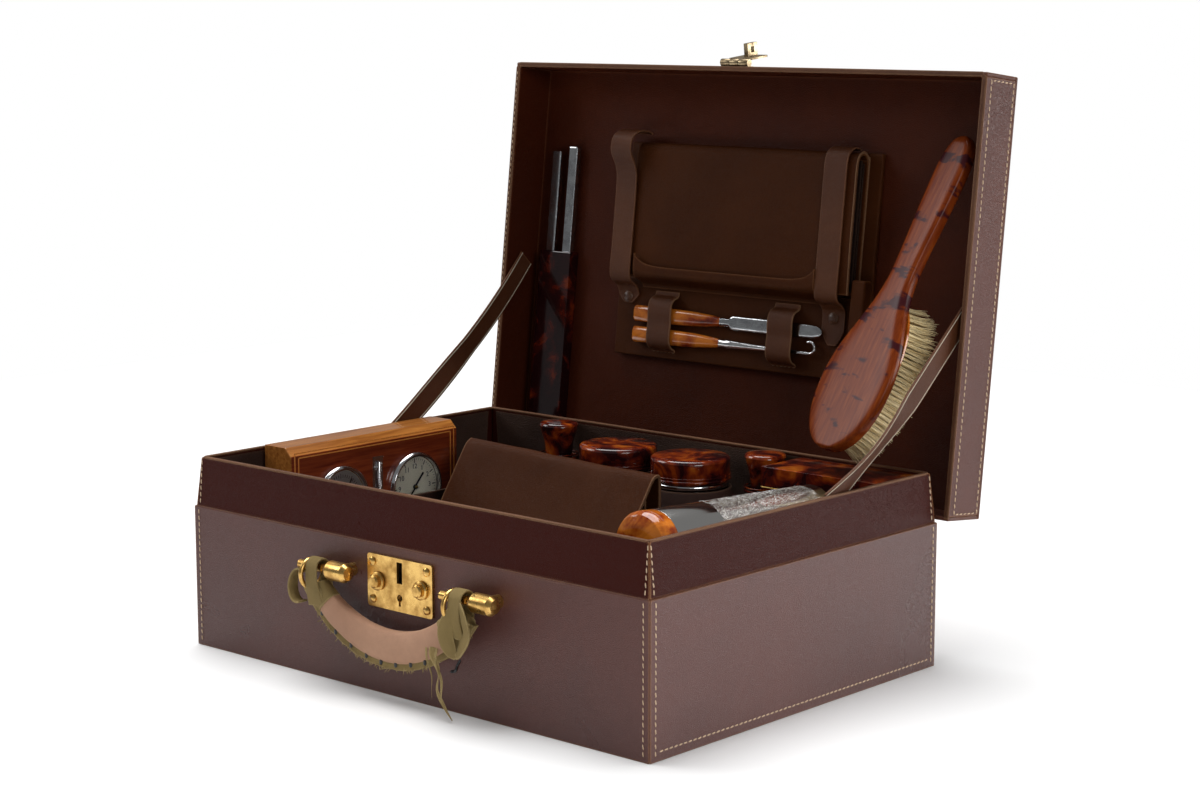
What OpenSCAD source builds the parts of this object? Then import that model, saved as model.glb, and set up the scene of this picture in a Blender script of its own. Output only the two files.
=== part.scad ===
// Antique fitted dressing box: a leather case with its lid standing open, its lock and handle,
// and the toilet articles that it holds. Origin at the centre of the underside, +X to the right
// of the front, +Y to the back, +Z up. The lid is drawn closed and then turned open.

/* [Case body] */
// Width of the case body
case_w = 420; // [400:5:460]
// Depth of the case body
case_d = 297; // [290:1:330]
// Height of the body up to its rim
case_h = 133.5; // [131:0.5:140]
// Thickness of the body's walls and floor
wall = 4; // [3.5:0.1:4.5]
// Thickness of the rim
rim_t = 2.5; // [2:0.1:3]
// Height of the ledge that the closed lid comes down to
ledge_z = 99.5; // [98:0.5:101]
// Depth of the ledge
ledge_step = 1.3; // [1:0.1:2]
// How far the band above the ledge leans in at the rim
band_inset = 4.3; // [3.5:0.1:5]

/* [Lid] */
// Angle that the lid stands open
open_angle = 96.6; // [92:0.1:100]
// Thickness of the lid's large panel
lid_t = 3; // [2:0.5:5]
// Thickness of the lid's front and back walls
lid_wall = 3; // [2:0.5:4]
// Thickness of the lid's side walls
lid_side = 4; // [3:0.5:6]
// Gap from the ledge to the lid's front and back walls
lid_gap = 0.6; // [0.4:0.1:2]
// Gap from the ledge to the lid's side walls
lid_side_gap = 3.8; // [3:0.1:5]
// Height left above the rim inside the closed lid
lid_room = 2; // [1.6:0.1:4]
// Gap between the ledge and the lid's rim
rim_gap = 0.5; // [0.3:0.1:1]

/* [Hinges] */
// Distance of the hinge axis behind the body
hinge_out = 2.7; // [2.6:0.1:3.5]
// Radius of the hinge knuckles
knuckle_r = 2.4; // [2:0.1:2.5]
// Radius of the hinge pins
hinge_pin_r = 1; // [0.8:0.1:1.2]
// Width of each hinge
hinge_w = 30; // [24:1:50]
// Distance between the two hinges
hinge_span = 260; // [200:10:320]
// Thickness of the hinge leaves
leaf_t = 1; // [0.8:0.1:1.5]

/* [Lock] */
// Width of the lock plate
lock_w = 60; // [56:1:70]
// Height of the lock plate
lock_h = 35; // [34:1:38]
// Thickness of the lock plate
lock_t = 2; // [1.5:0.1:3]
// Height of the middle of the lock plate
lock_z = 75.5; // [74:0.5:77]
// Width of the slot for the staple
slot_w = 5; // [4.8:0.1:6]
// Length of the slot for the staple
slot_l = 14; // [13:0.5:15]
// Distance of each knob from the middle of the lock
knob_x = 20; // [19:0.5:22]
// Travel of the knobs
knob_travel = 3; // [2:0.5:3]

/* [Hasp] */
// Width of the hasp
hasp_w = 25; // [20:1:28]
// Length of the hasp from its pin
hasp_l = 26; // [25:0.5:27]
// Angle that the hasp is thrown back
hasp_angle = 167; // [150:1:170]
// Radius of the hasp's knuckle
hasp_r = 2.8; // [2.5:0.1:3]

/* [Handle] */
// Distance between the two handle mounts
mount_span = 133; // [125:1:145]
// Height of the handle's axis
handle_z = 79; // [77:0.5:82]
// Distance of the handle's axis in front of the body
handle_out = 12; // [11.5:0.1:14]
// Radius of the spindles
spindle_r = 3; // [2.6:0.1:3.4]
// Middle radius of the brass rings
ring_r = 9.5; // [9:0.1:9.7]
// Radius of the rings' wire
ring_wire = 1.6; // [1.2:0.1:1.8]
// Thickness of the leather grip
grip_t = 12; // [10:0.5:13]
// Depth of the grip's lower edge below the axis
grip_drop = 56; // [54:1:60]

/* [Writing wallet in the lid] */
// Width of the wallet's leather board
board_w = 234; // [230:1:240]
// Height of the wallet's leather board
board_h = 162; // [160:1:170]
// Height of the board's lower edge above the hinge
board_u = 84; // [80:1:88]
// Thickness of the board
board_t = 4; // [3:0.5:4]
// Thickness of the wallet
wallet_t = 15; // [13:0.5:15.5]
// Width of the two closing straps
strap_w = 20; // [16:1:22]
// Thickness of the straps
strap_t = 1.5; // [1:0.1:1.8]

/* [Manicure tools and combs] */
// Length of the file
file_l = 176; // [160:2:180]
// Length of the button hook
hook_l = 174; // [160:2:180]
// Length of the tools' handles
handle_l = 84; // [80:1:86]
// Length of the comb sheath
sheath_l = 134; // [120:2:146]
// Width of the comb sheath
sheath_w = 32; // [30:1:34]
// Thickness of the comb sheath
sheath_t = 10; // [8:0.5:10]
// Length of the combs that stands out of the sheath
comb_out = 80; // [60:2:90]

/* [Clock set] */
// Length of the wooden clock case
clock_l = 164; // [160:1:170]
// Height of the wooden clock case
clock_h = 96; // [90:1:98]
// Thickness of the wooden clock case
clock_t = 28; // [24:0.5:29]
// Height of its top above the floor
clock_top = 136; // [135:0.5:138]
// Radius of the dials
dial_r = 23; // [20:0.5:24]
// Width of the chrome bezels
bezel_w = 3; // [2:0.5:4]
// Distance between the two dials
dial_span = 73; // [70:1:80]

/* [Bottles and jars] */
// Radius of the cream jars
jar_r = 27; // [25:0.5:28]
// Radius of the jars' lids
jar_lid_r = 28.2; // [28:0.1:28.8]
// Height of the jars' lids
jar_lid_h = 17; // [15:0.5:19]
// Height of the lids' tops above the table
jar_top = 129.5; // [126:0.5:132]
// Radius of the scent bottles
bottle_r = 16; // [14:0.5:16]
// Radius of the scent caps at the top
cap_r = 14.5; // [12:0.5:15]
// Height of the scent caps
cap_h = 28; // [24:1:30]
// Length of the long box
box_l = 100; // [90:1:102]
// Depth of the long box
box_d = 45; // [40:1:46]
// Height of the long box with its lid
box_h = 45; // [40:1:46]

/* [Tube, folded case and brush] */
// Radius of the silver tube
tube_r = 21; // [19:0.5:21]
// Length of the silver tube with its cap
tube_l = 176; // [160:2:178]
// Length of the folded leather case
pouch_l = 180; // [160:2:186]
// Height of the folded leather case
pouch_h = 84; // [80:1:86]
// Length of the hair brush
brush_l = 234; // [226:1:236]
// Width of the brush's head
brush_w = 60; // [56:1:62]
// Thickness of the brush's back
brush_t = 10; // [8:0.5:11]
// Length of the bristles
bristle_l = 24; // [20:1:25]

/* [Hidden] */
$fn = 64;

// Clearances between separate bodies, between stacked pieces and of running fits
gap = 0.3;
run_fit = 0.05;
eps = 0.01;

// Half sizes of the body, and the places of its ledge and inner faces
half_w = case_w / 2;
half_d = case_d / 2;
ledge_y = half_d - ledge_step;
inner_x = half_w - wall;
inner_y = half_d - wall;
rim_in = band_inset + rim_t;

// Lid sizes, drawn closed
hinge_y = half_d + hinge_out;
hinge_z = ledge_z + rim_gap;
lid_in_y = ledge_y + lid_gap;
lid_out_y = lid_in_y + lid_wall;
lid_in_x = half_w - ledge_step + lid_side_gap;
lid_out_x = lid_in_x + lid_side;
lid_in_z = case_h + lid_room;
lid_out_z = lid_in_z + lid_t;

function mix(a, b, t) = a + (b - a) * t;
// Distance of the inner wall face from the middle, at height z, for a body half size
function inner_at(half, z) = z < ledge_z ? half - wall
    : half - mix(wall, rim_in, (z - ledge_z) / (case_h - ledge_z));

module slab(a, b) { translate(a) cube(b - a); }
module rod_x(r, l) { rotate([0, 90, 0]) cylinder(r = r, h = l); }
module rod_y(r, l) { rotate([-90, 0, 0]) cylinder(r = r, h = l); }
module plate(w, h, t, r) {
    linear_extrude(t) round_rect(w, h, r);
}
// A rectangle with round corners, without facets
module round_rect(w, h, r) {
    square([w - 2 * r, h], center = true);
    square([w, h - 2 * r], center = true);
    for (x = [-1, 1], y = [-1, 1]) translate([x * (w / 2 - r), y * (h / 2 - r)]) circle(r);
}

// A flat ribbon of thickness t that follows points in the plane, as an outline
function turned(v) = [-v[1], v[0]] / norm(v);
function along(p, i) = turned(p[min(i + 1, len(p) - 1)] - p[max(i - 1, 0)]);
function ribbon(p, t) = concat([for (i = [0:len(p) - 1]) p[i] + along(p, i) * t / 2],
    [for (i = [len(p) - 1:-1:0]) p[i] - along(p, i) * t / 2]);

// Turns what is drawn closed to where the open lid stands
module open_lid() {
    translate([0, hinge_y, hinge_z]) rotate([-open_angle, 0, 0])
        translate([0, -hinge_y, -hinge_z]) children();
}
// Draws on the inside of the lid: x to the right, y up from the hinge, z out of the lid
module on_lid(x = 0, u = 0, d = 0) {
    open_lid() translate([x, hinge_y - u, lid_in_z - d]) rotate([180, 0, 0]) children();
}

// Body panels
module wall_panel(half_len, half_out) {
    reach = 3 * (wall + rim_in);
    intersection() {
        rotate([90, 0, 90]) linear_extrude(2 * half_len, center = true)
            polygon([[-half_out, 0], [-half_out, ledge_z], [ledge_step - half_out, ledge_z],
                     [band_inset - half_out, case_h], [rim_in - half_out, case_h],
                     [wall - half_out, ledge_z], [wall - half_out, 0]]);
        linear_extrude(case_h) polygon([[-half_len, -half_out], [half_len, -half_out],
            [half_len - reach, reach - half_out], [reach - half_len, reach - half_out]]);
    }
}
module base_floor() {
    color("saddlebrown") slab([-inner_x, -inner_y, 0], [inner_x, inner_y, wall]);
}
module base_front() {
    color("#4a2420") difference() {
        wall_panel(half_w, half_d);
        slab([-lock_in_w / 2, -half_d - 1, lock_z - lock_in_h / 2],
             [lock_in_w / 2, -half_d + wall + 1, lock_z + lock_in_h / 2]);
    }
}
module base_back() { color("#4a2420") rotate([0, 0, 180]) wall_panel(half_w, half_d); }
module base_left() { color("#4a2420") rotate([0, 0, -90]) wall_panel(half_d, half_w); }
module base_right() { color("#4a2420") rotate([0, 0, 90]) wall_panel(half_d, half_w); }

// Lock: a plate on the front, a case behind it, two sprung knobs that slide outwards
lock_x = -0.75;
lock_in_w = lock_w - 8;
lock_in_h = lock_h - 4;
lock_in_d = 14;
slot_z = lock_z + 8;
key_z = lock_z - 8.5;
key_r = 2.4;
shank_r = 1.6;
flange_r = 6.2;
button_r = 4.2;
screw_r = 2.8;
screw_in = 5;
pin_hole_r = 1.4;
module lock_hole(x, r, l, depth) {
    translate([x, 0, lock_z]) for (s = [0, 1]) translate([s * l, 0, 0]) rotate([-90, 0, 0])
        translate([0, 0, -1]) cylinder(r = r, h = depth + 2);
    slab([min(x, x + l), -1, lock_z - r], [max(x, x + l), depth + 1, lock_z + r]);
}
module lock_openings(depth) {
    translate([lock_x, -1, slot_z]) slab([-slot_w / 2, 0, -slot_l / 2],
        [slot_w / 2, depth + 2, slot_l / 2]);
    for (s = [-1, 1]) lock_hole(lock_x + s * knob_x, shank_r + gap, s * knob_travel, depth);
}
module lock_plate() {
    color("goldenrod") difference() {
        translate([lock_x, -half_d, lock_z]) rotate([90, 0, 0]) plate(lock_w, lock_h, lock_t, 2);
        translate([0, -half_d - lock_t, 0]) lock_openings(lock_t);
        translate([lock_x, -half_d - lock_t - 1, key_z]) rod_y(key_r, lock_t + 2);
        translate([lock_x, -half_d - lock_t - 1, key_z])
            slab([-1, 0, -key_r - 3], [1, lock_t + 2, 0]);
    }
}
module lock_case() {
    color("dimgray") difference() {
        slab([-lock_in_w / 2, -half_d, lock_z - lock_in_h / 2],
             [lock_in_w / 2, lock_in_d - half_d, lock_z + lock_in_h / 2]);
        translate([0, -half_d - 1, 0]) lock_openings(lock_in_d - 4);
        translate([lock_x, -half_d - 1, key_z]) rod_y(pin_hole_r, 8);
    }
}
module lock_screws() {
    color("gold") for (x = [-1, 1], z = [-1, 1])
        translate([lock_x + x * (lock_w / 2 - screw_in), -half_d - lock_t,
                   lock_z + z * (lock_h / 2 - screw_in)])
            rotate([90, 0, 0]) rotate_extrude()
                intersection() {
                    translate([0, -screw_r]) circle(1.6 * screw_r);
                    square([screw_r, screw_r]);
                }
}
module lock_knob(side) {
    color("gold") translate([lock_x + side * knob_x, -half_d - lock_t, lock_z])
        rotate([90, 0, 0]) rotate_extrude() polygon([[0, -8], [shank_r, -8], [shank_r, gap],
            [flange_r, gap], [flange_r, 1.6], [button_r + 1, 2.2], [button_r, 2.2],
            [button_r, 4.4], [button_r - 1, 5.2], [0, 5.5]]);
}
module left_lock_knob() { lock_knob(-1); }
module right_lock_knob() { lock_knob(1); }

// Handle: two brass mounts, each a bullet with a spindle to its left, and the leather grip
handle_y = -half_d - handle_out;
bullet_r = 6.5;
bullet_l = 20;
spindle_l = 28;
mount_x = [for (s = [-1, 1]) s * mount_span / 2 + 9.5];
ring_drop = ring_r - ring_wire - spindle_r - gap;
ring_back = 17;
collar_r = 7.2;
collar_l = 8;
collar_back = 14.5;
grip_edge = 31;
module handle_mounts() {
    color("goldenrod") for (x = mount_x) translate([x, handle_y, handle_z]) {
        rotate([0, 90, 0]) rotate_extrude() polygon([[0, -spindle_l], [spindle_r, -spindle_l],
            [spindle_r, -5], [2.4, -5], [2.4, -3], [spindle_r, -3], [bullet_r - 1, 0],
            [bullet_r, 2], [bullet_r, bullet_l - 4], [bullet_r - 2, bullet_l - 1],
            [0, bullet_l]]);
        translate([bullet_l / 2, 0, 0]) rod_y(bullet_r - 2, handle_out);
        translate([-spindle_l + spindle_r - 1, 0, 0]) rod_y(spindle_r - 0.4, handle_out);
    }
}
module handle_rings() {
    color("gold") for (x = mount_x) translate([x - ring_back, handle_y, handle_z - ring_drop])
        rotate([0, 90, 0]) rotate_extrude() translate([ring_r, 0]) circle(ring_wire, $fn = 24);
}
// A circle through two points at plus and minus half of a chord and a low point in the middle
function sag_r(half, sag) = (half * half + sag * sag) / (2 * sag);
module handle_grip() {
    mid = (mount_x[0] + mount_x[1]) / 2 - collar_back + collar_l / 2;
    half = (mount_x[1] - mount_x[0]) / 2;
    outer_half = half + 15;
    inner_half = half - 6;
    outer_sag = grip_drop - 12;
    inner_sag = grip_edge - 7;
    outer_r = sag_r(outer_half, outer_sag);
    inner_r = sag_r(inner_half, inner_sag);
    color("rosybrown") difference() {
        union() {
            translate([mid, handle_y + grip_t / 2, handle_z]) rotate([90, 0, 0])
                linear_extrude(grip_t) difference() {
                    intersection() {
                        translate([0, outer_r - grip_drop]) circle(outer_r, $fn = 128);
                        translate([-outer_half, -grip_drop])
                            square([2 * outer_half, grip_drop - 9.5]);
                    }
                    translate([0, inner_r - grip_edge]) circle(inner_r, $fn = 128);
                }
            for (x = mount_x) translate([x - collar_back, handle_y, handle_z]) {
                rod_x(collar_r, collar_l);
                slab([0, -collar_r + 3, -20], [collar_l, collar_r - 3, -spindle_r - 1]);
            }
        }
        for (x = mount_x) translate([x, handle_y, handle_z]) {
            translate([-collar_back - 1, 0, 0]) rod_x(spindle_r + gap, collar_l + 2);
            translate([-ring_back - ring_wire - 2 * gap, 0, -ring_drop])
                rod_x(ring_r + ring_wire + 2 * gap, 2 * (ring_wire + 2 * gap));
        }
    }
}

// Hinges behind the body: a base leaf with the middle knuckle, a lid leaf with the outer two
knuckle_l = hinge_w / 3;
module hinge_places() { for (s = [-1, 1]) translate([s * hinge_span / 2, 0, 0]) children(); }
module hinge_base_leaves() {
    color("goldenrod") hinge_places() difference() {
        union() {
            slab([-hinge_w / 2, half_d, hinge_z - 26], [hinge_w / 2, half_d + leaf_t,
                 hinge_z - knuckle_r - gap]);
            slab([-knuckle_l / 2 + gap, half_d + gap, hinge_z - knuckle_r - gap - eps],
                 [knuckle_l / 2 - gap, half_d + gap + leaf_t, hinge_z]);
            translate([-knuckle_l / 2 + gap, hinge_y, hinge_z])
                rod_x(knuckle_r, knuckle_l - 2 * gap);
        }
        translate([-hinge_w / 2 - 1, hinge_y, hinge_z]) rod_x(hinge_pin_r, hinge_w + 2);
    }
}
module hinge_lid_leaves() {
    color("goldenrod") open_lid() hinge_places() difference() {
        union() {
            slab([-hinge_w / 2, lid_out_y, hinge_z + knuckle_r + gap],
                 [hinge_w / 2, lid_out_y + leaf_t, hinge_z + 24]);
            for (s = [-1, 1]) {
                translate([s * knuckle_l - knuckle_l / 2, hinge_y, hinge_z])
                    rod_x(knuckle_r, knuckle_l);
                translate([s * knuckle_l, lid_out_y, hinge_z]) slab([-knuckle_l / 2, 0, 0],
                    [knuckle_l / 2, leaf_t, knuckle_r + gap + eps]);
            }
        }
        translate([-hinge_w / 2 - 1, hinge_y, hinge_z])
            rod_x(hinge_pin_r + run_fit, hinge_w + 2);
    }
}
module hinge_pins() {
    color("gold") hinge_places() translate([-hinge_w / 2, hinge_y, hinge_z])
        rod_x(hinge_pin_r, hinge_w);
}

// Lid panels
module lid_top() {
    color("#4a2420") open_lid()
        slab([-lid_out_x, -lid_out_y, lid_in_z], [lid_out_x, lid_out_y, lid_out_z]);
}
module lid_wall_y(side) {
    slab([-lid_out_x, min(side * lid_in_y, side * lid_out_y), hinge_z],
         [lid_out_x, max(side * lid_in_y, side * lid_out_y), lid_in_z]);
}
module lid_wall_x(side) {
    slab([min(side * lid_in_x, side * lid_out_x), -lid_in_y, hinge_z],
         [max(side * lid_in_x, side * lid_out_x), lid_in_y, lid_in_z]);
}
module lid_front() { color("#4a2420") open_lid() lid_wall_y(-1); }
module lid_back() {
    color("#4a2420") open_lid() difference() {
        lid_wall_y(1);
        hinge_places() slab([-hinge_w / 2 - gap, lid_in_y - 1, hinge_z - 1],
            [hinge_w / 2 + gap, lid_out_y + 1, hinge_z + knuckle_r + gap]);
    }
}
module lid_left() { color("#4a2420") open_lid() lid_wall_x(-1); }
module lid_right() { color("#4a2420") open_lid() lid_wall_x(1); }

// Hasp on the front of the lid, drawn locked and then thrown back
hasp_y = -lid_out_y - hasp_r - gap;
hasp_z = hinge_z + hasp_r - 0.3;
hasp_t = 1.2;
hasp_pin_r = 1.1;
staple_w = 3.6;
staple_l = 11;
staple_out = 10;
module hasp_plate() {
    third = hasp_w / 3;
    color("dimgray") open_lid() difference() {
        union() {
            slab([-hasp_w / 2, -lid_out_y - 1, hasp_z + hasp_r + gap],
                 [hasp_w / 2, -lid_out_y, hasp_z + 12]);
            for (s = [-1, 1]) translate([s * third, 0, hasp_z]) {
                translate([-third / 2, hasp_y, 0]) rod_x(hasp_r, third);
                slab([-third / 2, -lid_out_y - 1, -hasp_r / 2],
                     [third / 2, -lid_out_y, hasp_r + gap + 1]);
                slab([-third / 2, hasp_y, 0.4], [third / 2, -lid_out_y - 0.5, hasp_r - 0.8]);
            }
        }
        translate([-hasp_w / 2 - 1, hasp_y, hasp_z]) rod_x(hasp_pin_r, hasp_w + 2);
    }
}
module hasp_pin() {
    color("gray") open_lid() translate([-hasp_w / 2, hasp_y, hasp_z]) rod_x(hasp_pin_r, hasp_w);
}
module hasp_leaf() {
    third = hasp_w / 3;
    face = hasp_r - 0.3;
    staple_z = slot_z - hasp_z;
    color("dimgray") open_lid() translate([0, hasp_y, hasp_z]) rotate([-hasp_angle, 0, 0])
        difference() {
            union() {
                rotate([90, 0, 90]) linear_extrude(third - 2 * gap, center = true)
                    polygon([[face - hasp_t, 0], [face, 0], [face, -6], [face - hasp_t, -6]]);
                translate([-third / 2 + gap, 0, 0]) rod_x(hasp_r, third - 2 * gap);
                translate([0, face, -hasp_l / 2 - 2]) rotate([90, 0, 0])
                    plate(hasp_w - 4, hasp_l - 4, hasp_t, 3);
                translate([lock_x - staple_w / 2, face - 0.5, staple_z - staple_l / 2])
                    difference() {
                        cube([staple_w, staple_out, staple_l]);
                        translate([-1, 3, 3.6]) cube([staple_w + 2, 4.5, 3.8]);
                    }
            }
            translate([-hasp_w / 2 - 1, 0, 0]) rod_x(hasp_pin_r + run_fit, hasp_w + 2);
        }
}

// Writing wallet on the lid
board_x = -1;
board_top = board_u + board_h;
lower_h = 60;
wallet_u = board_u + lower_h + gap;
wallet_h = board_top - wallet_u - 2;
wallet_w = 204;
wallet_x = board_x + 4;
wallet_d = board_t + gap;
wallet_out = wallet_d + wallet_t;
strap_x = [board_x - board_w / 2 + strap_w / 2 + 2, board_x + board_w / 2 - 28];
module wallet_board() {
    color("#5a3a22") on_lid(board_x, board_u) {
        translate([0, board_h / 2, 0]) plate(board_w, board_h, board_t, 6);
        translate([0, lower_h / 2, 0]) plate(board_w, lower_h, board_t + 3, 6);
        slab([board_w / 2 - 18, 14, 0], [board_w / 2 + 4, lower_h + 10, board_t - 0.5]);
    }
}
module wallet_cover() {
    color("#4a2a1a") on_lid(wallet_x, wallet_u) {
        slab([-wallet_w / 2, 0, wallet_out - 2], [wallet_w / 2, wallet_h, wallet_out]);
        slab([-wallet_w / 2, 0, wallet_d], [wallet_w / 2, wallet_h, wallet_d + 2]);
        slab([-wallet_w / 2, wallet_h - 2, wallet_d], [wallet_w / 2, wallet_h, wallet_out]);
        slab([-wallet_w / 2, 0, wallet_d], [2 - wallet_w / 2, wallet_h, wallet_out]);
    }
}
module wallet_papers() {
    color("antiquewhite") on_lid(wallet_x, wallet_u)
        slab([2 + gap - wallet_w / 2, 2, wallet_d + 2 + gap],
             [wallet_w / 2 - 2, wallet_h - 2 - gap, wallet_out - 2 - gap]);
}
// The closing straps run from behind the board over the wallet to a snap on the board
strap_out = wallet_out + gap + strap_t / 2;
strap_low = board_t + 3 + strap_t / 2;
strap_top = wallet_u + wallet_h + gap + strap_t / 2;
module wallet_straps() {
    half = strap_t / 2;
    color("#5a3a22") for (x = strap_x) on_lid(x - strap_w / 2) rotate([90, 0, 90])
        linear_extrude(strap_w) polygon([[strap_top + half, board_t],
            [strap_top + half, strap_out + half], [wallet_u - 1, strap_out + half],
            [wallet_u - 12.4, strap_low + half], [wallet_u - 21, strap_low + half],
            [wallet_u - 21, strap_low - half], [wallet_u - 11, strap_low - half],
            [wallet_u - 0.4, strap_out - half], [strap_top - half, strap_out - half],
            [strap_top - half, board_t]]);
}
module strap_snaps() {
    color("#4a2a1a") for (x = strap_x) on_lid(x, wallet_u - 16.7, strap_low + strap_t / 2)
        cylinder(r1 = 3.8, r2 = 2.8, h = 2.2);
}
// The tools lie on the board's lower part, each under two leather loops
tool_r = 3.4;
tool_d = board_t + 3 + tool_r + gap;
file_u = board_u + 35;
hook_u = board_u + 18;
tool_left = strap_x[0] + strap_w / 2 + gap;
loop_x = [board_x - 67, board_x + 47];
loop_w = 22;
module tool_loops() {
    low = board_t + 3;
    high = tool_d + tool_r + gap;
    color("#5a3a22") for (x = loop_x) on_lid(x, (file_u + hook_u) / 2) difference() {
        slab([-loop_w / 2, -18, low], [loop_w / 2, 18, high + 1.2]);
        slab([-loop_w / 2 - 1, -16.8, low - 1], [loop_w / 2 + 1, 16.8, high]);
    }
}
module tool_handle(u) {
    color("#a0521e") on_lid(tool_left, u, tool_d) difference() {
        rotate([0, 90, 0]) cylinder(r1 = tool_r, r2 = tool_r - 0.6, h = handle_l);
        translate([handle_l - 12, 0, 0]) rod_x(1.2, 13);
    }
}
module file_handle() { tool_handle(file_u); }
module hook_handle() { tool_handle(hook_u); }
module file_blade() {
    color("gainsboro") on_lid(tool_left + handle_l, file_u, tool_d) {
        translate([-11, 0, 0]) rod_x(1.2, 12);
        rod_x(2.4, 8);
        translate([(file_l - handle_l) / 2 + 3, 0, -0.6])
            plate(file_l - handle_l - 6, 6.4, 1.2, 3);
    }
}
module hook_shank() {
    shank_l = hook_l - handle_l - 6;
    color("silver") on_lid(tool_left + handle_l, hook_u, tool_d) {
        translate([-11, 0, 0]) rod_x(1.2, 12);
        rotate([0, 90, 0]) cylinder(r1 = 2.4, r2 = 1.1, h = 30);
        rod_x(1.1, shank_l);
        translate([shank_l, -3.4, 0]) rotate([0, 0, -90]) rotate_extrude(angle = 180)
            translate([3.4, 0]) circle(1.1, $fn = 24);
    }
}
// Combs in a sheath at the left of the lid
sheath_x = -half_w + 26;
sheath_u = 24;
comb_t = 9;
module comb_sheath() {
    color("#2a1410") on_lid(sheath_x, sheath_u) difference() {
        slab([-sheath_w / 2, 0, gap], [sheath_w / 2, sheath_l, gap + sheath_t]);
        for (s = [-1, 1]) translate([s * (sheath_w / 2 - 7.5), 0, gap + sheath_t / 2])
            slab([-comb_t / 2 - gap, 12, -sheath_t / 2 + 2],
                 [comb_t / 2 + gap, sheath_l + 1, sheath_t / 2 - 2]);
    }
}
module combs() {
    color("lightsteelblue") on_lid(sheath_x, sheath_u) for (s = [-1, 1])
        translate([s * (sheath_w / 2 - 7.5), 0, gap + sheath_t / 2])
            slab([-comb_t / 2, 12 + gap, -sheath_t / 2 + 2 + gap],
                 [comb_t / 2, sheath_l + comb_out + s * 2, sheath_t / 2 - 2 - gap]);
}

// Stay straps between body and lid, sagging
stay_w = 16;
stay_t = 1.5;
stay_y = 36;
stay_u = 150;
stay_in = 20;
stay_low = 128;
stay_top = [hinge_y - stay_u * cos(open_angle) + stay_in * sin(open_angle),
            hinge_z + stay_u * sin(open_angle) + stay_in * cos(open_angle)];
stay_lean = atan((lid_in_x - inner_at(half_w, case_h) - stay_t) / (stay_top[1] - case_h));
stay_path = [for (i = [0:12]) let (t = i / 12)
    [mix(stay_y, stay_top[0], t), mix(stay_low, stay_top[1], t) - 34 * t * (1 - t)]];
module stay(side) {
    edge = inner_at(half_w, case_h) - gap;
    color("#5a2a24") mirror([side < 0 ? 1 : 0, 0, 0]) translate([edge - stay_t, 0, case_h])
        rotate([0, stay_lean, 0]) translate([0, 0, -case_h]) rotate([90, 0, 90])
            linear_extrude(stay_t) polygon(ribbon(stay_path, stay_w));
}
module left_stay() { stay(-1); }
module right_stay() { stay(1); }

// Clock set: a wooden case with clock, thermometer and barometer facing right
clock_back = -inner_at(half_w, case_h) + stay_t + 6 * gap;
clock_x = clock_back + clock_t;
clock_y = -10;
dial_z = clock_top - 44;
bezel_h = 5;
bevel = 6;
module on_clock(y, z, out = 0) {
    translate([clock_x + out, clock_y + y, z]) rotate([90, 0, 90]) children();
}
module clock_case() {
    color("peru") translate([0, clock_y + clock_l / 2, clock_top - clock_h])
        rotate([90, 0, 0]) linear_extrude(clock_l) polygon([[clock_back, 0], [clock_x, 0],
            [clock_x, clock_h - bevel], [clock_x - bevel, clock_h], [clock_back, clock_h]]);
}
module dial_bezels() {
    color("silver") for (s = [-1, 1]) on_clock(s * dial_span / 2, dial_z) rotate_extrude()
        polygon([[dial_r, 0], [dial_r + bezel_w, 0], [dial_r + bezel_w, bezel_h - 2],
                 [dial_r + bezel_w - 1.5, bezel_h], [dial_r, bezel_h]]);
}
arbor_r = 0.7;
module dials() {
    color("beige") {
        for (s = [-1, 1]) on_clock(s * dial_span / 2, dial_z) cylinder(r = dial_r - gap, h = 0.6);
        on_clock(dial_span / 2, dial_z) cylinder(r = arbor_r, h = 2.6);
        on_clock(-dial_span / 2, dial_z) translate([0, 0, 0.6]) {
            cylinder(r = 1.6, h = 1.4);
            rotate([0, 0, 140]) slab([-0.5, 0, 0.2], [0.5, dial_r - 6, 0.8]);
        }
    }
}
module dial_glasses() {
    color("lightcyan", 0.35) for (s = [-1, 1])
        on_clock(s * dial_span / 2, dial_z, bezel_h - 1.6) cylinder(r = dial_r - 0.05, h = 1);
}
// A clock hand with a round hub, pointing at an angle from twelve
module clock_hand(l, w, angle, out) {
    color("black") on_clock(dial_span / 2, dial_z, out) rotate([0, 0, -angle]) difference() {
        union() {
            cylinder(r = 1.8, h = 0.5);
            slab([-w / 2, 0, 0], [w / 2, l, 0.5]);
        }
        translate([0, 0, -1]) cylinder(r = arbor_r + run_fit, h = 3);
    }
}
module hour_hand() { clock_hand(dial_r - 10, 1.4, 42, 0.9); }
module minute_hand() { clock_hand(dial_r - 4.5, 1, 222, 1.8); }
module thermometer() {
    color("silver") on_clock(0, dial_z) {
        slab([-5, -24, 0], [5, 28, 1]);
        translate([0, -20, 2.3]) rotate([-90, 0, 0]) cylinder(r = 1.6, h = 44);
        translate([0, -21, 2.3]) sphere(2.2);
        for (v = [-12, 18]) slab([-3, v, 0], [3, v + 2, 2.7]);
    }
}

// Pockets and dividers that hold the loose pieces upright
panel_t = 2;
panel_front = clock_x + bezel_h + 2.4;
panel_top = 88;
tube_z = 123.5;
tube_x = inner_at(half_w, case_h) - tube_r - stay_t - 6 * gap;
tube_wall_x = tube_x - tube_r - gap - panel_t;
pouch_y = 8;
pouch_d = 54;
module pocket_panels() {
    color("#3a1a16") {
        slab([panel_front, -inner_y, wall], [panel_front + panel_t, inner_y, panel_top]);
        slab([panel_front + panel_t, pouch_y - gap - panel_t, wall],
             [tube_wall_x, pouch_y - gap, 56]);
        slab([tube_wall_x, -inner_y, wall], [tube_wall_x + panel_t, box_y - 2, 80]);
    }
}

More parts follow.
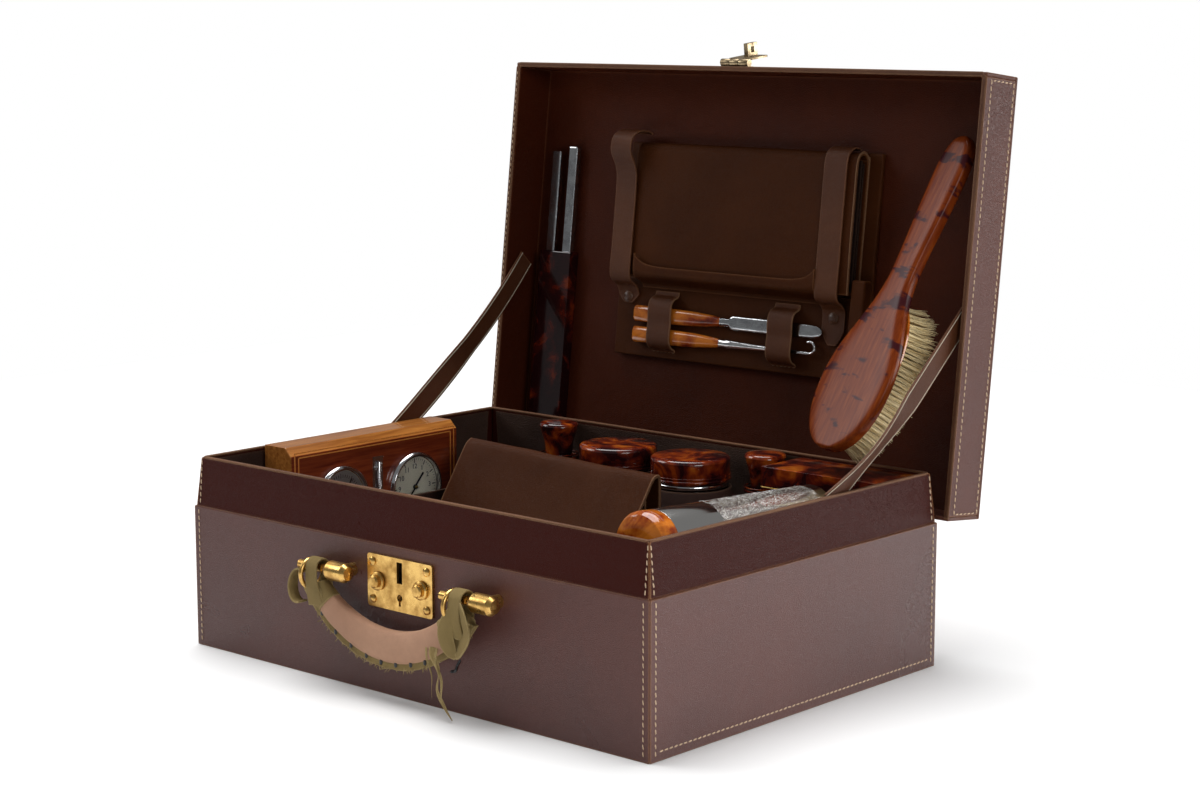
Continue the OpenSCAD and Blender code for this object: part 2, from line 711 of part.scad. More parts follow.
// Jar tray: cups of leather on the floor for the jars and bottles, and a rest for the long box
jar_x = [-40, 30];
jar_y = [106, 104];
bottle_x = [-117, 80];
cup_t = 2.4;
bottle_y = inner_y - bottle_r - cup_t - gap;
cup_top = 108;
tray_y = pouch_y + pouch_d + gap;
tray_t = 2.4;
box_x = inner_x - box_l - 8;
box_y = inner_y - rim_in - box_d + wall;
box_z = jar_top + 2 - box_h;
module cup(x, y, r, top) {
    translate([x, y, wall]) difference() {
        cylinder(r = r + cup_t, h = top - wall);
        translate([0, 0, 3]) cylinder(r = r + gap, h = top);
    }
}
module jar_tray() {
    color("#3a1a16") {
        for (i = [0, 1]) {
            cup(jar_x[i], jar_y[i], jar_r, cup_top);
            cup(bottle_x[i], bottle_y, bottle_r, 92);
        }
        slab([panel_front + panel_t, tray_y, wall], [tube_wall_x, tray_y + tray_t, 84]);
        slab([box_x, box_y, wall], [box_x + box_l, box_y + box_d, box_z]);
    }
}
// Cream jars with a hollow, and their lids that lift off
neck_r = jar_r - 3;
jar_in = jar_r - 5;
lid_low = jar_top - jar_lid_h;
module cream_jars() {
    color("lightcyan", 0.35) for (i = [0, 1]) translate([jar_x[i], jar_y[i], 0]) difference() {
        union() {
            translate([0, 0, wall + 3]) cylinder(r = jar_r, h = lid_low - 2 - wall - 3);
            translate([0, 0, lid_low - 3]) cylinder(r = neck_r, h = jar_lid_h - 3 + 3 - gap);
        }
        translate([0, 0, wall + 8]) cylinder(r = jar_in, h = case_h);
    }
}
module jar_lid(i) {
    color("#a0521e") translate([jar_x[i], jar_y[i], lid_low]) rotate_extrude() polygon([
        [0, jar_lid_h - 3], [neck_r + gap, jar_lid_h - 3], [neck_r + gap, 0], [jar_lid_r - 1, 0],
        [jar_lid_r, 2], [jar_lid_r, jar_lid_h - 2], [jar_lid_r - 2, jar_lid_h], [0, jar_lid_h]]);
}
module left_jar_lid() { jar_lid(0); }
module right_jar_lid() { jar_lid(1); }
// Scent bottles of solid glass to the neck, with flared caps
cap_top = case_h + 0.7;
cap_low = cap_top - cap_h;
spout_r = 6;
module scent_bottles() {
    color("lightcyan", 0.35) for (x = bottle_x) translate([x, bottle_y, 0]) rotate_extrude()
        polygon([[0, wall + 3], [bottle_r, wall + 3], [bottle_r, cap_low - 12],
                 [bottle_r - 4, cap_low - 4], [spout_r + 2, cap_low - 1],
                 [spout_r, cap_low - 1], [spout_r, cap_low + 9], [0, cap_low + 9]]);
}
module scent_cap(x) {
    color("#a0521e") translate([x, bottle_y, cap_low]) rotate_extrude() polygon([
        [0, 9 + gap], [spout_r + gap, 9 + gap], [spout_r + gap, 0], [cap_r - 5, 0],
        [cap_r - 3.4, cap_h / 2], [cap_r, cap_h - 2.4], [cap_r - 0.6, cap_h - 0.8],
        [cap_r - 2, cap_h], [0, cap_h]]);
}
module left_scent_cap() { scent_cap(bottle_x[0]); }
module right_scent_cap() { scent_cap(bottle_x[1]); }
// Long box with a lid that lifts off
box_lid_h = 14;
box_wall = 2.4;
module long_box() {
    color("#a0521e") difference() {
        slab([box_x + 1, box_y + 1, box_z + gap],
             [box_x + box_l - 1, box_y + box_d - 1, box_z + box_h - box_lid_h]);
        slab([box_x + 1 + box_wall, box_y + 1 + box_wall, box_z + 3],
             [box_x + box_l - 1 - box_wall, box_y + box_d - 1 - box_wall, case_h]);
    }
}
module long_box_lid() {
    low = box_z + box_h - box_lid_h + gap;
    color("#a0521e") {
        slab([box_x, box_y, low + box_lid_h - 4],
             [box_x + box_l, box_y + box_d, low + box_lid_h - gap]);
        difference() {
            slab([box_x, box_y, low], [box_x + box_l, box_y + box_d, low + box_lid_h - 4 + eps]);
            slab([box_x + box_wall, box_y + box_wall, low - 1],
                 [box_x + box_l - box_wall, box_y + box_d - box_wall, low + box_lid_h - 4]);
        }
    }
}

// Folded leather case with a ridge on top and a front that slopes forward
pouch_x = -50;
pouch_top = 128;
pouch_tilt = 1.3;
module folded_case() {
    color("#4a2418") translate([pouch_x - pouch_l / 2, 0, pouch_top]) rotate([0, pouch_tilt, 0])
        rotate([90, 0, 90]) linear_extrude(pouch_l) polygon([
            [pouch_y, -pouch_h], [pouch_y, -67], [pouch_y + 42, -3], [pouch_y + 45, -0.6],
            [pouch_y + 48, 0], [pouch_y + 50.4, -1.4], [pouch_y + 52, -6],
            [pouch_y + pouch_d, -40], [pouch_y + pouch_d, -pouch_h]]);
}

// Silver tube with a screw cap, its front end a little higher
tube_y = -case_d / 2 + 23;
tube_tilt = 2.8;
cap_len = 16;
module on_tube(y) {
    translate([tube_x, tube_y, tube_z]) rotate([-90 - tube_tilt, 0, 0]) translate([0, 0, y])
        children();
}
module tube_body() {
    color("silver") on_tube(cap_len + gap) {
        cylinder(r = tube_r, h = tube_l - cap_len - gap - 3);
        translate([0, 0, tube_l - cap_len - gap - 3]) cylinder(r1 = tube_r, r2 = tube_r - 2, h = 3);
        translate([0, 0, -8]) cylinder(r = tube_r - 3, h = 8 + eps);
    }
}
module tube_cap() {
    color("#c07a30") on_tube(0) rotate_extrude() polygon([[0, 0], [tube_r - 8, 0.8],
        [tube_r - 2, 3], [tube_r, 6], [tube_r, cap_len], [tube_r - 3 + run_fit, cap_len],
        [tube_r - 3 + run_fit, cap_len - 8 - gap], [0, cap_len - 8 - gap]]);
}

// Hair brush that leans from the long box to the lid
brush_place = [151, 97.1, 148.8];
brush_lean = 60.5;
brush_turn = -20;
brush_roll = -13;
head_l = 118;
neck_w = 22;
handle_w = 28;
module on_brush() {
    translate(brush_place) rotate([0, 0, brush_turn]) rotate([brush_lean, 0, 0])
        rotate([0, brush_roll, 0]) children();
}
// Half the brush's width at a distance t from the head's end
function ease(t) = (1 - cos(180 * t)) / 2;
head_end = 0.5 * brush_w;
function brush_half(t) =
    t < 50 ? head_end * sqrt(1 - pow(1 - t / 50, 2.4))
    : t < 132 ? mix(head_end, neck_w / 2, ease((t - 50) / 82))
    : t < brush_l - 30 ? mix(neck_w / 2, handle_w / 2, ease((t - 132) / (brush_l - 162)))
    : handle_w / 2 * sqrt(max(0, 1 - pow((t - brush_l + 30) / 30, 2.4)));
brush_steps = [for (i = [0:8]) 50 * (1 - cos(i * 90 / 8)), each [for (i = [1:20])
    50 + (brush_l - 80) * i / 20], for (i = [1:8]) brush_l - 30 + 30 * sin(i * 90 / 8)];
module brush_back() {
    n = len(brush_steps);
    color("#a0521e") on_brush() translate([0, 0, -brush_t]) linear_extrude(brush_t) polygon([
        for (i = [0:n - 1]) [brush_half(brush_steps[i]), brush_steps[i]],
        for (i = [n - 2:-1:1]) [-brush_half(brush_steps[i]), brush_steps[i]]]);
}
// Bristles: a square grid bent to an ellipse, with a pointed strand on every other cell.
// Strands splay outwards in proportion to their place, so that none meets another.
bristle_nx = 20;
bristle_ny = 40;
pad_w = brush_w - 10;
pad_l = head_l - 14;
pad_t = 1.5;
splay = 0.12;
function to_disc(x, y) = [x * sqrt(1 - y * y / 2), y * sqrt(1 - x * x / 2)];
function grid_point(i, j) = let (q = to_disc(2 * i / bristle_nx - 1, 2 * j / bristle_ny - 1))
    [q[0] * pad_w / 2, q[1] * pad_l / 2];
module brush_bristles() {
    nx = bristle_nx;
    ny = bristle_ny;
    cells = [for (j = [0:ny - 1], i = [0:nx - 1]) [i, j]];
    top = [for (j = [0:ny], i = [0:nx]) concat(grid_point(i, j), [-pad_t])];
    tips = [for (c = cells) let (q = grid_point(c[0] + 0.5, c[1] + 0.5),
        up = bristle_l - 2 * abs(sin(57 * c[0] + 91 * c[1])))
        [q[0] * (1 + splay), q[1] * (1 + splay), -up]];
    low = [for (p = top) [p[0], p[1], 0]];
    n = len(top);
    m = len(tips);
    function at(i, j) = j * (nx + 1) + i;
    function under(i, j) = n + m + at(i, j);
    rim = [for (i = [0:nx - 1]) [i, 0], for (j = [0:ny - 1]) [nx, j],
           for (i = [nx:-1:1]) [i, ny], for (j = [ny:-1:1]) [0, j]];
    faces = [
        for (k = [0:m - 1]) let (i = cells[k][0], j = cells[k][1],
            a = at(i, j), b = at(i + 1, j), c = at(i + 1, j + 1), d = at(i, j + 1), e = n + k)
            each (i + j) % 2 == 0 ? [[a, b, e], [b, c, e], [c, d, e], [d, a, e]]
                : [[a, b, c], [a, c, d]],
        for (k = [0:len(rim) - 1]) let (p = rim[k], q = rim[(k + 1) % len(rim)])
            [at(p[0], p[1]), under(p[0], p[1]), under(q[0], q[1]), at(q[0], q[1])],
        [for (k = [len(rim) - 1:-1:0]) under(rim[k][0], rim[k][1])]];
    color("khaki") on_brush() translate([0, 6 + pad_l / 2, -brush_t]) polyhedron(
        points = concat(top, tips, low), faces = faces, convexity = 10);
}

base_floor();
base_front();
base_back();
base_left();
base_right();
pocket_panels();
jar_tray();
lock_case();
lock_plate();
lock_screws();
left_lock_knob();
right_lock_knob();
handle_mounts();
handle_rings();
handle_grip();
hinge_base_leaves();
hinge_lid_leaves();
hinge_pins();
lid_top();
lid_front();
lid_back();
lid_left();
lid_right();
hasp_plate();
hasp_pin();
hasp_leaf();
wallet_board();
wallet_cover();
wallet_papers();
wallet_straps();
strap_snaps();
tool_loops();
file_handle();
file_blade();
hook_handle();
hook_shank();
comb_sheath();
combs();
left_stay();
right_stay();
clock_case();
dial_bezels();
dials();
dial_glasses();
hour_hand();
minute_hand();
thermometer();
folded_case();
tube_body();
tube_cap();
brush_back();
brush_bristles();
scent_bottles();
left_scent_cap();
right_scent_cap();
cream_jars();
left_jar_lid();
right_jar_lid();
long_box();
long_box_lid();
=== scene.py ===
# %% [markdown]
# # A fitted dressing box in Blender
# The real object is a leather travelling case from about a century ago. Its lid stands open,
# and its bottles, jars, brush, combs, clock and writing wallet are in their places.
# The solids come from the CAD model, already in place. This lesson gives them their finish,
# and makes the soft and the finely detailed pieces anew, in metres, in the CAD model's frame.

# %% Load the solids
import math
import bpy
import numpy as np
from mathutils import Matrix


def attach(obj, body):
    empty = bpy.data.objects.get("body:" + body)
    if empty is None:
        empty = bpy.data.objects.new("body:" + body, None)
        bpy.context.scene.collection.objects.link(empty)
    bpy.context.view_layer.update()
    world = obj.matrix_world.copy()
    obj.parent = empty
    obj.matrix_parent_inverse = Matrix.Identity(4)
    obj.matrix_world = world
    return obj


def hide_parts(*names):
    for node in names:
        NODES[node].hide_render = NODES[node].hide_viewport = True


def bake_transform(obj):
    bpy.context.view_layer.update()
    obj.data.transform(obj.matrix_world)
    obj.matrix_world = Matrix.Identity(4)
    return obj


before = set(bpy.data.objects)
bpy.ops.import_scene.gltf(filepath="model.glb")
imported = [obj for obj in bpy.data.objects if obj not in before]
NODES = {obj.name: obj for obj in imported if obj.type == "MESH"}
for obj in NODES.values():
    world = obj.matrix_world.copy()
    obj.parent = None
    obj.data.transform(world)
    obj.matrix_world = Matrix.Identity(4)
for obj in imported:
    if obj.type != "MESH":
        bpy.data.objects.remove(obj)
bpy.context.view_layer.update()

# %% [markdown]
# The camera stands to the right of the case, a little above it, and far enough away for a
# long lens. Its place and its angles were worked out from the corners of the case.

# %% Camera
lens = bpy.data.cameras.new("camera")
lens.lens = 73.69
lens.sensor_width = 36
camera = bpy.data.objects.new("camera", lens)
camera.location = (1.12368, -1.21040, 0.44355)
camera.rotation_euler = (math.pi / 2 - 0.159024, 0.00043, 0.731341)
bpy.context.scene.collection.objects.link(camera)
bpy.context.scene.camera = camera
print("camera at", tuple(camera.location))

# %% [markdown]
# The studio is a pale floor under one large soft overhead light, a sun of fifty degrees across.
# The room above is dim, so polished leather mirrors only the lit floor, while the camera sees
# white behind it. Three weak panels shape the front and put a sheen on the right side.

# %% Floor, sky and lights
def new_object(name, mesh):
    piece = bpy.data.objects.new(name, mesh)
    bpy.context.scene.collection.objects.link(piece)
    return piece


def area_light(name, place, target, size, watts):
    """A square light at place that faces target: its -Z axis points from the one to the other."""
    lamp = bpy.data.lights.new(name, "AREA")
    lamp.shape = "RECTANGLE"
    lamp.size, lamp.size_y = size
    lamp.energy = watts
    light = new_object(name, lamp)
    light.location = place
    aim = light.location.copy()
    aim.x, aim.y, aim.z = (t - p for t, p in zip(target, place))
    light.rotation_mode = "QUATERNION"
    light.rotation_quaternion = aim.to_track_quat("-Z", "Y")


area_light("key_light", (-2.0, -1.0, 1.5), (0, 0, 0.15), (1.2, 0.9), 16)
area_light("front_light", (2.3, -1.0, 1.0), (0, 0, 0.2), (1.0, 0.8), 15)
area_light("side_light", (1.7, 1.5, 0.38), (0.2, 0, 0.1), (1.6, 0.7), 24)
sun = bpy.data.lights.new("soft_sun", "SUN")
sun.energy = 3.7
sun.angle = math.radians(50)
new_object("soft_sun", sun).rotation_euler = (math.radians(-7), math.radians(-12), 0)
sky = bpy.data.worlds.new("sky")
sky.use_nodes = True
sky_tree = sky.node_tree
dim_sky = sky_tree.nodes["Background"]
dim_sky.inputs["Strength"].default_value = 0.16
pale_sky = sky_tree.nodes.new("ShaderNodeBackground")
for shade in (dim_sky, pale_sky):
    shade.inputs["Color"].default_value = (1, 1, 1, 1)
seen = sky_tree.nodes.new("ShaderNodeMixShader")
to_camera = sky_tree.nodes.new("ShaderNodeLightPath").outputs["Is Camera Ray"]
for source, socket in ((to_camera, seen.inputs[0]), (dim_sky.outputs[0], seen.inputs[1]),
                       (pale_sky.outputs[0], seen.inputs[2]),
                       (seen.outputs[0], sky_tree.nodes["World Output"].inputs[0])):
    sky_tree.links.new(source, socket)
bpy.context.scene.world = sky
bpy.context.scene.view_settings.view_transform = "Standard"

floor_mesh = bpy.data.meshes.new("floor")
FLOOR_HALF = 1.35
floor_mesh.from_pydata([(x * FLOOR_HALF, y * FLOOR_HALF, 0) for x, y in
                        ((-1, -1), (1, -1), (1, 1), (-1, 1))], [], [(0, 1, 2, 3)])
floor = new_object("floor", floor_mesh)
print("lights:", len(bpy.data.lights))

# %% [markdown]
# Every finish is made of a few effects: the grain of leather, the clouds in tortoiseshell,
# wear along edges, fine scratches. Each effect is a node group, built once. The helper below
# adds a node and fills its sockets, from numbers or from other nodes' sockets.

# %% Node helpers
def add(tree, kind, values=None, **settings):
    """Adds a node. values maps a socket's name or number to a constant or to another socket."""
    made = tree.nodes.new("ShaderNode" + kind)
    for key, value in settings.items():
        setattr(made, key, value)
    for key, value in (values or {}).items():
        if isinstance(value, bpy.types.NodeSocket):
            tree.links.new(value, made.inputs[key])
        else:
            made.inputs[key].default_value = value
    return made


def feed(tree, sockets, **values):
    """Links each value to the socket of its name. An underscore stands for a space."""
    for key, value in values.items():
        tree.links.new(value, sockets[key.replace("_", " ")])


def new_group(name, outputs, **inputs):
    """A shader node group: a Vector input, number inputs with their defaults, and outputs."""
    tree = bpy.data.node_groups.new(name, "ShaderNodeTree")
    tree.interface.new_socket("Vector", in_out="INPUT", socket_type="NodeSocketVector")
    for label, start in inputs.items():
        socket = tree.interface.new_socket(label, in_out="INPUT", socket_type="NodeSocketFloat")
        socket.default_value = start
    for label in outputs:
        kind = "NodeSocketColor" if label == "Colour" else "NodeSocketFloat"
        tree.interface.new_socket(label, in_out="OUTPUT", socket_type=kind)
    return tree, tree.nodes.new("NodeGroupInput").outputs, tree.nodes.new("NodeGroupOutput").inputs


def own_place(tree):
    """The object's own coordinates."""
    return add(tree, "TexCoord").outputs["Object"]


def ramp(tree, value, *stops):
    """A colour ramp with its stops given as (place, colour)."""
    made = add(tree, "ValToRGB", {0: value})
    while len(made.color_ramp.elements) < len(stops):
        made.color_ramp.elements.new(0.5)
    for element, (place, colour) in zip(made.color_ramp.elements, stops):
        element.position = place
        element.color = (*colour, 1)
    return made.outputs[0]


def maths(tree, kind, a, b=0.0, clamp=False):
    return add(tree, "Math", {0: a, 1: b}, operation=kind, use_clamp=clamp).outputs[0]


def stretched(tree, vector, factors):
    return add(tree, "VectorMath", {0: vector, 1: factors}, operation="MULTIPLY").outputs[0]


def remap(tree, value, low, high, start, end):
    """Takes low..high to start..end in a straight line."""
    return add(tree, "MapRange", {0: value, 1: low, 2: high, 3: start, 4: end}).outputs[0]


def mix_colour(tree, factor, a, b, kind="MIX"):
    """Colour a turned towards b by the factor. Plain colours get an alpha of 1."""
    a, b = (c if isinstance(c, bpy.types.NodeSocket) else (*c, 1) for c in (a, b))
    return add(tree, "Mix", {0: factor, 6: a, 7: b}, data_type="RGBA", blend_type=kind).outputs[2]


def noise(tree, vector, scale, detail=3.0, rough=0.5, warp=0.0):
    return add(tree, "TexNoise", {"Vector": vector, "Scale": scale, "Detail": detail,
                                  "Roughness": rough, "Distortion": warp}).outputs[0]


# %% [markdown]
# Leather grain is a field of small cells with creases between them, over larger soft dents.
# The group gives a height for the bump, a cloudy mask for the colour and a mask of rubbed
# edges. Rubbed edges are found by comparing the surface's normal with one that is rounded
# over a few millimetres.

# %% Effect groups
def make_grain():
    tree, given, out = new_group("leather_grain", ("Height", "Cloud", "Fine"),
                                 Cells=900.0, Creases=0.5)
    place = given["Vector"]
    cells = add(tree, "TexVoronoi", {"Vector": place, "Scale": given["Cells"]},
                feature="DISTANCE_TO_EDGE").outputs[0]
    pebble = maths(tree, "MINIMUM", maths(tree, "MULTIPLY", cells, 3.0), 1.0)
    dents = maths(tree, "MULTIPLY", noise(tree, place, 60.0, 5.0, 0.6), 0.6)
    folds = maths(tree, "MULTIPLY", noise(tree, place, 14.0, 6.0, 0.65, 1.2), given["Creases"])
    height = maths(tree, "ADD", maths(tree, "MULTIPLY", pebble, 0.35),
                   maths(tree, "ADD", dents, folds))
    feed(tree, out, Height=height, Cloud=noise(tree, place, 7.0, 4.0, 0.6, 0.6),
         Fine=noise(tree, place, 220.0, 4.0, 0.7))
    return tree


def make_edge_wear():
    tree, given, out = new_group("edge_wear", ("Wear",), Amount=1.0)
    rounded = add(tree, "Bevel", {"Radius": 0.0022}, samples=4).outputs[0]
    normal = add(tree, "NewGeometry").outputs["Normal"]
    same = add(tree, "VectorMath", {0: rounded, 1: normal}, operation="DOT_PRODUCT")
    turn = maths(tree, "SUBTRACT", 1.0, same.outputs["Value"])
    patch = maths(tree, "MULTIPLY", noise(tree, given["Vector"], 38.0, 5.0, 0.7), 1.2)
    found = maths(tree, "MULTIPLY", maths(tree, "MULTIPLY", turn, 9.0), given["Amount"])
    feed(tree, out, Wear=maths(tree, "SUBTRACT", found, patch, True))
    return tree


def make_tortoise():
    tree, given, out = new_group("tortoiseshell", ("Colour", "Cloud"), Scale=26.0, Dark=0.5)
    cloud = noise(tree, given["Vector"], given["Scale"], 4.0, 0.55, 1.5)
    swirl = noise(tree, given["Vector"], maths(tree, "MULTIPLY", given["Scale"], 3.5), 3.0)
    ripple = maths(tree, "MULTIPLY", maths(tree, "SUBTRACT", swirl, 0.5), 0.3)
    shifted = maths(tree, "ADD", maths(tree, "ADD", cloud, ripple),
                    maths(tree, "SUBTRACT", 0.5, given["Dark"]), True)
    colour = ramp(tree, shifted, (0.34, (0.02, 0.003, 0.004)), (0.43, (0.10, 0.010, 0.004)),
                  (0.52, (0.25, 0.036, 0.004)), (0.74, (0.55, 0.16, 0.016)))
    feed(tree, out, Colour=colour, Cloud=cloud)
    return tree


def make_scratches():
    tree, given, out = new_group("scratches", ("Height", "Smudge"), Scale=300.0)
    long = stretched(tree, given["Vector"], (1.0, 1.0, 0.12))
    feed(tree, out, Height=noise(tree, long, given["Scale"], 4.0, 0.7),
         Smudge=noise(tree, given["Vector"], 90.0, 5.0, 0.65))
    return tree


GRAIN, WEAR, TORTOISE, SCRATCHES = make_grain(), make_edge_wear(), make_tortoise(), make_scratches()
print("effect groups:", [group.name for group in bpy.data.node_groups])


def use_group(tree, effect, **values):
    """Places an effect group with the object's own coordinates as its Vector."""
    return add(tree, "Group", {"Vector": own_place(tree), **values}, node_tree=effect).outputs


def new_material(name, **constants):
    """A material whose Principled shader has its plain numbers on its own sockets."""
    material = bpy.data.materials.new(name)
    material.use_nodes = True
    tree = material.node_tree
    sockets = tree.nodes["Principled BSDF"].inputs
    for key, value in constants.items():
        socket = sockets[key.replace("_", " ")]
        socket.default_value = (*value, 1) if isinstance(value, tuple) else value
    return material, tree, sockets


def bump(tree, height, depth):
    """A bump of the given depth in metres, as the shader's normal."""
    return add(tree, "Bump", {"Height": height, "Distance": depth, "Strength": 1.0}).outputs[0]


# %% [markdown]
# The case's leather is dark oxblood, polished and old. Its colour drifts between a red brown
# and a purple brown, edges are rubbed to tan, and the gloss changes from patch to patch.
# Above the ledge the band is painted darker and duller: painted shade, for the leaning band that
# mirrors only dark surroundings.

# %% Leather finishes
LEDGE = 0.0985


def leather(name, dark, light, worn, painted_band_shade=None, rough=(0.3, 0.5), cells=900.0, creases=0.5,
            wear=1.0, depth=0.0004, coat=0.0, specular=0.16):
    """Dark to light by the grain's clouds, worn on edges, painted darker above the ledge's height
    as painted shade.
    """
    material, tree, sockets = new_material(name, Coat_Weight=coat, Coat_Roughness=0.28,
                                           Specular_IOR_Level=specular)
    grain = use_group(tree, GRAIN, Cells=cells, Creases=creases)
    rubbed = use_group(tree, WEAR, Amount=wear)["Wear"]
    cloud = ramp(tree, grain["Cloud"], (0.3, dark), (0.7, light))
    if painted_band_shade:
        # Painted shade: above the ledge the colour turns to the band's darker colour and the
        # specular drops.
        height = add(tree, "SeparateXYZ", {0: own_place(tree)}).outputs[2]
        shaded_band = maths(tree, "MULTIPLY", maths(tree, "SUBTRACT", height, LEDGE), 600.0, True)
        cloud = mix_colour(tree, shaded_band, cloud, painted_band_shade)
        feed(tree, sockets, Specular_IOR_Level=remap(tree, shaded_band, 0.0, 1.0, specular, 0.06))
    speck = mix_colour(tree, maths(tree, "MULTIPLY", grain["Fine"], 0.35), cloud,
                       tuple(0.5 * c for c in dark))
    feed(tree, sockets, Base_Color=mix_colour(tree, rubbed, speck, worn),
         Roughness=remap(tree, grain["Cloud"], 0.3, 0.7, *rough),
         Normal=bump(tree, grain["Height"], depth))
    return material


# The fourth colour is the painted shade of the band above the ledge.
CASE_LEATHER = leather("case_leather", (0.075, 0.029, 0.025), (0.115, 0.043, 0.035),
                       (0.24, 0.11, 0.05), (0.04, 0.0045, 0.002), (0.24, 0.36), 1100.0, 0.7,
                       depth=0.0003, specular=0.3)
LID_LEATHER = leather("lid_leather", (0.075, 0.024, 0.017), (0.12, 0.038, 0.026),
                      (0.24, 0.11, 0.05), None, (0.25, 0.4), 1100.0, 0.7,
                      depth=0.0003, coat=0.03, specular=0.15)
LINING = leather("lining_leather", (0.042, 0.0068, 0.0015), (0.075, 0.0135, 0.003),
                 (0.11, 0.03, 0.012), None, (0.4, 0.6), 900.0, 1.4, 0.3, 0.0005, specular=0.1)
WALLET_LEATHER = leather("wallet_leather", (0.042, 0.0105, 0.002), (0.07, 0.02, 0.005),
                         (0.15, 0.06, 0.024), None, (0.3, 0.48), 1300.0, 0.8, specular=0.06)
STRAP_LEATHER = leather("strap_leather", (0.065, 0.02, 0.008), (0.115, 0.04, 0.016),
                        (0.2, 0.09, 0.045), None, (0.28, 0.45), 1500.0, 0.8, depth=0.0003)
GRIP_LEATHER = leather("grip_leather", (0.40, 0.215, 0.135), (0.56, 0.33, 0.215),
                       (0.3, 0.2, 0.09), None, (0.5, 0.75), 1600.0, 1.0, 0.5, 0.0005)
FRAYED = leather("frayed_canvas", (0.16, 0.108, 0.036), (0.40, 0.29, 0.12), (0.5, 0.38, 0.18),
                 None, (0.7, 0.9), 2400.0, 1.0, 0.5, 0.0006)
TRAY_LEATHER = leather("tray_leather", (0.028, 0.012, 0.009), (0.07, 0.034, 0.025),
                       (0.16, 0.085, 0.05), None, (0.35, 0.55), 1200.0, 1.0, depth=0.0005)
WORN_LINING = leather("worn_lining", (0.03, 0.011, 0.008), (0.085, 0.05, 0.036),
                      (0.14, 0.07, 0.04), None, (0.4, 0.6), 700.0, 1.4, 0.5, 0.0008)
DARK_LEATHER_AND_SHADE = leather("dark_leather_and_shade", (0.008, 0.003, 0.002), (0.018, 0.007, 0.005),
                       (0.06, 0.03, 0.015), None, (0.4, 0.6), 1300.0, wear=0.6, depth=0.0003)
SNAP = leather("snap_leather", (0.05, 0.02, 0.011), (0.09, 0.036, 0.02), (0.2, 0.1, 0.05),
               None, (0.18, 0.3), 1500.0, depth=0.0002, coat=0.5)
EDGE_LEATHER = leather("edge_leather", (0.07, 0.026, 0.014), (0.16, 0.07, 0.034),
                       (0.26, 0.14, 0.07), None, (0.45, 0.65), 1500.0, 0.6, depth=0.0003)
print("leather finishes:", len(bpy.data.materials))

# %% [markdown]
# Metals: the lock and the handle are brass with a warm tarnish in smudged patches, the hasp is
# darkened bronze, and the tube is silver with an engraved scroll.

# %% Metal finishes
def metal(name, bright, dull, rough):
    """Dull to bright, and rough to smooth, by a smudged cloud, with a fine scratched bump."""
    material, tree, sockets = new_material(name, Metallic=1.0)
    marks = use_group(tree, SCRATCHES)
    feed(tree, sockets, Base_Color=ramp(tree, marks["Smudge"], (0.35, dull), (0.6, bright)),
         Roughness=remap(tree, marks["Smudge"], 0.35, 0.7, rough[1], rough[0]),
         Normal=bump(tree, marks["Height"], 0.00008))
    return material


BRASS = metal("brass", (0.74, 0.47, 0.15), (0.42, 0.23, 0.06), (0.18, 0.4))
BRONZE = metal("dark_bronze", (0.42, 0.33, 0.2), (0.13, 0.09, 0.05), (0.2, 0.45))
STEEL = metal("comb_steel", (0.62, 0.64, 0.66), (0.36, 0.37, 0.39), (0.08, 0.25))
CHROME = metal("chrome", (0.85, 0.85, 0.86), (0.6, 0.6, 0.62), (0.06, 0.2))
BLACK, WHITE = (0, 0, 0), (1, 1, 1)


def engraved_silver():
    """Silver with a scroll: bands of a warped wave, cut below the surface and tarnished dark."""
    material, tree, sockets = new_material("engraved_silver", Metallic=1.0)
    place = own_place(tree)
    swirl = noise(tree, place, 70.0, 1.0, 0.4, 3.0)
    leaf = noise(tree, place, 160.0, 2.0, 0.5, 4.0)
    cut = ramp(tree, maths(tree, "FRACT", maths(tree, "MULTIPLY", swirl, 9.0)),
               (0.0, BLACK), (0.12, WHITE), (0.88, WHITE), (1.0, BLACK))
    fine = ramp(tree, maths(tree, "FRACT", maths(tree, "MULTIPLY", leaf, 8.0)),
                (0.0, BLACK), (0.2, WHITE))
    softened = maths(tree, "ADD", 0.55, maths(tree, "MULTIPLY", fine, 0.45))
    both = maths(tree, "MULTIPLY", cut, softened)
    length = add(tree, "SeparateXYZ", {0: place}).outputs[1]
    away = maths(tree, "ABSOLUTE", maths(tree, "ADD", length, 0.012))
    plain_part = maths(tree, "MULTIPLY", maths(tree, "SUBTRACT", away, 0.048), 300.0, True)
    both = maths(tree, "MAXIMUM", both, plain_part)
    feed(tree, sockets, Base_Color=mix_colour(tree, both, (0.3, 0.26, 0.2), (0.9, 0.88, 0.85)),
         Roughness=remap(tree, both, 0.0, 1.0, 0.42, 0.11), Normal=bump(tree, both, 0.0003))
    return material


ENGRAVED = engraved_silver()
print("with metals:", len(bpy.data.materials))

# %% [markdown]
# Tortoiseshell is amber with plum-dark clouds under a hard polish. The jars, caps and box
# share it, each with its own scale and darkness. The brush has its own, streaked lengthwise.

# %% Tortoiseshell, wood, glass and small finishes
def tortoiseshell(name, scale, dark, tint=WHITE):
    material, tree, sockets = new_material(name, Roughness=0.12, Coat_Weight=0.35,
                                           Coat_Roughness=0.04, Specular_IOR_Level=0.4)
    shell = use_group(tree, TORTOISE, Scale=scale, Dark=dark)
    feed(tree, sockets, Base_Color=mix_colour(tree, 1.0, shell["Colour"], tint, "MULTIPLY"),
         Normal=bump(tree, shell["Cloud"], 0.0002))
    return material


JAR_SHELL = tortoiseshell("jar_tortoiseshell", 34.0, 0.56)
DARK_SHELL = tortoiseshell("sheath_tortoiseshell", 30.0, 0.66, (0.6, 0.55, 0.55))
AMBER_SHELL = tortoiseshell("amber_tortoiseshell", 40.0, 0.36)


